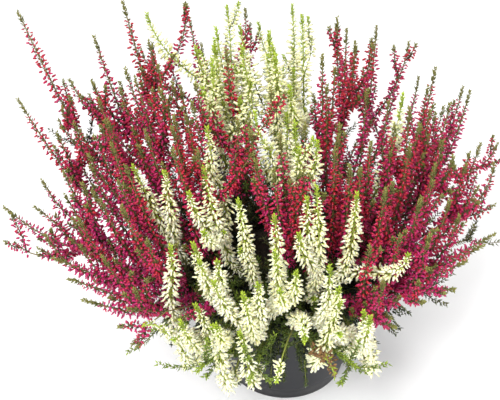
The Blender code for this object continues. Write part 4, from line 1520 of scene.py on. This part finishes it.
def lattice_noise(x, y, cell, seed):
    """Smooth noise from -1 to 1: chance numbers at the corners of square cells, mixed by a
    curve that is level at the corners"""
    table = np.random.default_rng(seed).uniform(-1, 1, (64, 64))
    i, j = np.floor(x / cell).astype(int), np.floor(y / cell).astype(int)
    u, v = x / cell - i, y / cell - j
    u, v = u * u * (3 - 2 * u), v * v * (3 - 2 * v)

    def corner(a, b):
        return table[(i + a) % 64, (j + b) % 64]

    near = corner(0, 0) * (1 - u) + corner(1, 0) * u
    far = corner(0, 1) * (1 - u) + corner(1, 1) * u
    return near * (1 - v) + far * v


def soil_edge(height):
    """Outside of the soil at a height, a little inside the pot's wall"""
    lip = POT_HEIGHT - LIP_HEIGHT
    foot = wall_radius(FLOOR) - WALL - FOOT_STEP - GAP
    share = (height - FLOOR) / (lip - LIP_DEPTH - FLOOR)
    return foot + share * (wall_radius(lip) - WALL - GAP - foot)


def soil_top(x, y):
    """Height of the crumbly top: the mound, and two sizes of lumps"""
    mound = np.vectorize(soil_height)(x, y)
    return mound + 0.9 * lattice_noise(x, y, 5.0, 3) + 0.5 * lattice_noise(x, y, 1.9, 4) - 0.4


def make_soil():
    """Rings of points from the bottom up the side and in over the top to the middle"""
    heights = np.linspace(FLOOR + GAP, SOIL_TOP - 1.0, SOIL_SIDE_RINGS)
    top = np.linspace(soil_edge(SOIL_TOP), 1.0, SOIL_TOP_RINGS)
    radii = np.concatenate([soil_edge(heights), top])
    rings = round_rings(radii[:, None], 0.0, SOIL_SIDES)
    rings[..., 2] = soil_top(rings[..., 0], rings[..., 1])
    rings[:SOIL_SIDE_RINGS, :, 2] = heights[:, None]
    batch = Batch()
    batch.add_rings(rings, (0, 0, FLOOR + GAP), (0, 0, rings[-1, :, 2].mean()))
    add_crumbs(batch, CRUMBS)
    soil = batch.piece("soil_peat", peat(), "soil", "soil")
    print("soil", len(soil.data.polygons))


def add_crumbs(batch, count):
    """Loose crumbs: spindles of uneven size and turn that lie half sunk in the top"""
    distance = 50.0 * np.sqrt(rng.uniform(0, 1, count))
    turn = rng.uniform(0, 2 * np.pi, count)
    x, y = distance * np.cos(turn), distance * np.sin(turn)
    size = rng.uniform(0.5, 1.5, count) ** 1.5
    place = np.stack([x, y, soil_top(x, y)], 1)
    way = unit(rng.normal(0, 1, (count, 3)))
    side = unit(rng.normal(0, 1, (count, 3)))
    crumb = Batch("along")
    scatter(crumb, ROUND_BUD, place - way * size[:, None], way, side, 2 * size, 0.8 * size)
    batch.add(crumb.points[0], crumb.triangles[0])


make_soil()

# %% [markdown]
# ## The pot
#
# A nursery pot is thin moulded plastic: a tapered wall, a rolled lip to carry it by, and a foot
# that is set back a little so that pots stack.  It is a profile turned round, with small arcs at
# every edge.  Drain holes are cut through the floor.

# %% Finish of the pot
LIP_ROUND = 1.6          # radius of the lip's edges
POT_SIDES, HOLE_SIDES = 80, 28


def moulded_plastic():
    """Dark grey plastic: fine texture, faint flow marks, pale dust near the foot, and painted
    shade that darkens the set-back foot band
    """
    finish = Finish("moulded plastic", 0.42)
    finish.shader.inputs["Specular IOR Level"].default_value = 0.32
    place = finish.place()
    height = finish.add("ShaderNodeSeparateXYZ", None, {0: place}, output=2)
    stretched = finish.add("ShaderNodeMapping", None, {"Vector": place, "Scale": (1, 1, 0.12)})
    flow = finish.noise(0.012, 3.0, 0.6, stretched)
    grain = finish.noise(0.0007, 2.0)
    colour = finish.blend(flow.ramp(0.3, 0.7), (0.009, 0.0095, 0.012), (0.017, 0.018, 0.022))
    # Painted shade: the set-back foot band under the step is darkened nearly to black
    foot = height.ramp(0.0128, 0.0116)
    colour = finish.blend(foot * 0.7, colour, (0.003, 0.003, 0.004))
    scuffs = finish.noise(0.018, 6.0, 0.8).ramp(0.62, 0.75) * height.ramp(0.03, 0.0)
    colour = finish.blend(scuffs * 0.4, colour, (0.16, 0.15, 0.14))
    finish.set(Base_Color=colour, Roughness=0.34 + flow * 0.12 + scuffs * 0.3)
    finish.bump(grain * 0.6 + flow * 0.4, 0.00012, 0.5)
    return finish


print("radius of the lip's edges", LIP_ROUND, "mm")

# %% Turn the pot
FOOT_BAND = 12.0         # height of the set-back foot
LIP_RADIUS = 60.0
FOOT_EDGE = 1.5          # slope round the bottom's edge
EDGE = 1.0               # slopes at the foot band and the lip
DRAIN_HOLES = 6
DRAIN_RADIUS = 5.0
DRAIN_CIRCLE = 26.0
CUT_PAST = 5.0           # how far a cutter reaches past what it cuts


def arc(middle, radius, start, end, count=6):
    """Points on a part of a circle in the profile, from one angle in degrees to another"""
    angle = np.radians(np.linspace(start, end, count))
    return [(middle[0] + radius * math.cos(a), middle[1] + radius * math.sin(a)) for a in angle]


def pot_profile():
    """The outline (radius, height) from the middle of the floor's underside, out, up the wall,
    over the lip and down the inside to the middle of the floor's top"""
    lip = POT_HEIGHT - LIP_HEIGHT
    foot_top = wall_radius(FOOT_BAND) - FOOT_STEP
    base = FOOT_RADIUS - FOOT_EDGE
    under = [(radius, 0.0) for radius in np.linspace(2.0, base, 12)]
    foot = arc((base, FOOT_EDGE), FOOT_EDGE, -70, -5)
    band = [(foot_top, FOOT_BAND - 0.3), (foot_top + 0.3, FOOT_BAND)]
    edge_top = FOOT_BAND + EDGE
    step = [(wall_radius(FOOT_BAND), FOOT_BAND + 0.6), (wall_radius(edge_top), edge_top)]
    heights = np.linspace(FOOT_BAND + 3.0, lip - 0.6, 26)
    wall = [(wall_radius(height), height) for height in heights]
    low = arc((LIP_RADIUS - LIP_ROUND, lip + LIP_ROUND + 0.1), LIP_ROUND, -80, -5)
    high = arc((LIP_RADIUS - LIP_ROUND, POT_HEIGHT - LIP_ROUND), LIP_ROUND, 5, 85)
    inner = arc((LIP_RADIUS - WALL - EDGE + 0.8, POT_HEIGHT - 0.8), 0.8, 95, 170)
    inside = [
        (wall_radius(height) - WALL - (FOOT_STEP if height < FOOT_BAND else 0), height)
        for height in np.linspace(lip - LIP_DEPTH, FLOOR + 1.0, 22)
    ]
    floor = [(radius, FLOOR) for radius in np.linspace(inside[-1][0] - 0.8, 2.0, 12)]
    return np.array(under + foot + band + step + wall + low + high + inner + inside + floor)


def make_pot():
    """The turned pot, with its drain holes cut by prisms in one Boolean"""
    profile = pot_profile()
    plastic = moulded_plastic()
    batch = Batch()
    rings = round_rings(profile[:, :1], profile[:, 1:], POT_SIDES)
    batch.add_rings(rings, (0, 0, 0), (0, 0, FLOOR))
    pot = batch.piece("pot_moulded", plastic, "pot", "pot")
    drill(pot, plastic)
    pot.data.set_sharp_from_angle(angle=math.radians(50))
    print("pot", len(pot.data.polygons))


def drill(pot, plastic):
    """Cut the drain holes, whose walls are of the pot's plastic too"""
    batch = Batch()
    radius = np.full((2, 1), DRAIN_RADIUS)
    low, high = -CUT_PAST, FLOOR + CUT_PAST
    for i in range(DRAIN_HOLES):
        angle = 2 * math.pi * (i + 0.5) / DRAIN_HOLES
        middle = DRAIN_CIRCLE * np.array((math.cos(angle), math.sin(angle)))
        prism = round_rings(radius, np.array([[low], [high]]), HOLE_SIDES, middle)
        batch.add_rings(prism, (*middle, low), (*middle, high))
    cutter = batch.piece("drill", plastic, "pot")
    cut = pot.modifiers.new("drain holes", "BOOLEAN")
    cut.operation = "DIFFERENCE"
    cut.object = cutter
    evaluated = pot.evaluated_get(bpy.context.evaluated_depsgraph_get())
    mesh = bpy.data.meshes.new_from_object(evaluated)
    pot.modifiers.clear()
    pot.data = mesh
    bpy.data.objects.remove(cutter)


make_pot()

# %% [markdown]
# ## The size, and the end
#
# The last cell prints how far the dressed plant reaches past the model's box, in millimetres,
# and how many triangles the pieces have. The dressed plant has to stay inside the model's
# box, apart from a few millimetres.

# %% Write the sizes and finish
made_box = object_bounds()
grown = [[round((made_box[k][i] - cad_box[k][i]) / MM, 1) for i in range(3)] for k in range(2)]
print("box grown by (mm)", grown)
total = sum(len(item.data.polygons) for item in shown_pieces() if item.type == "MESH")
print("triangles", total)
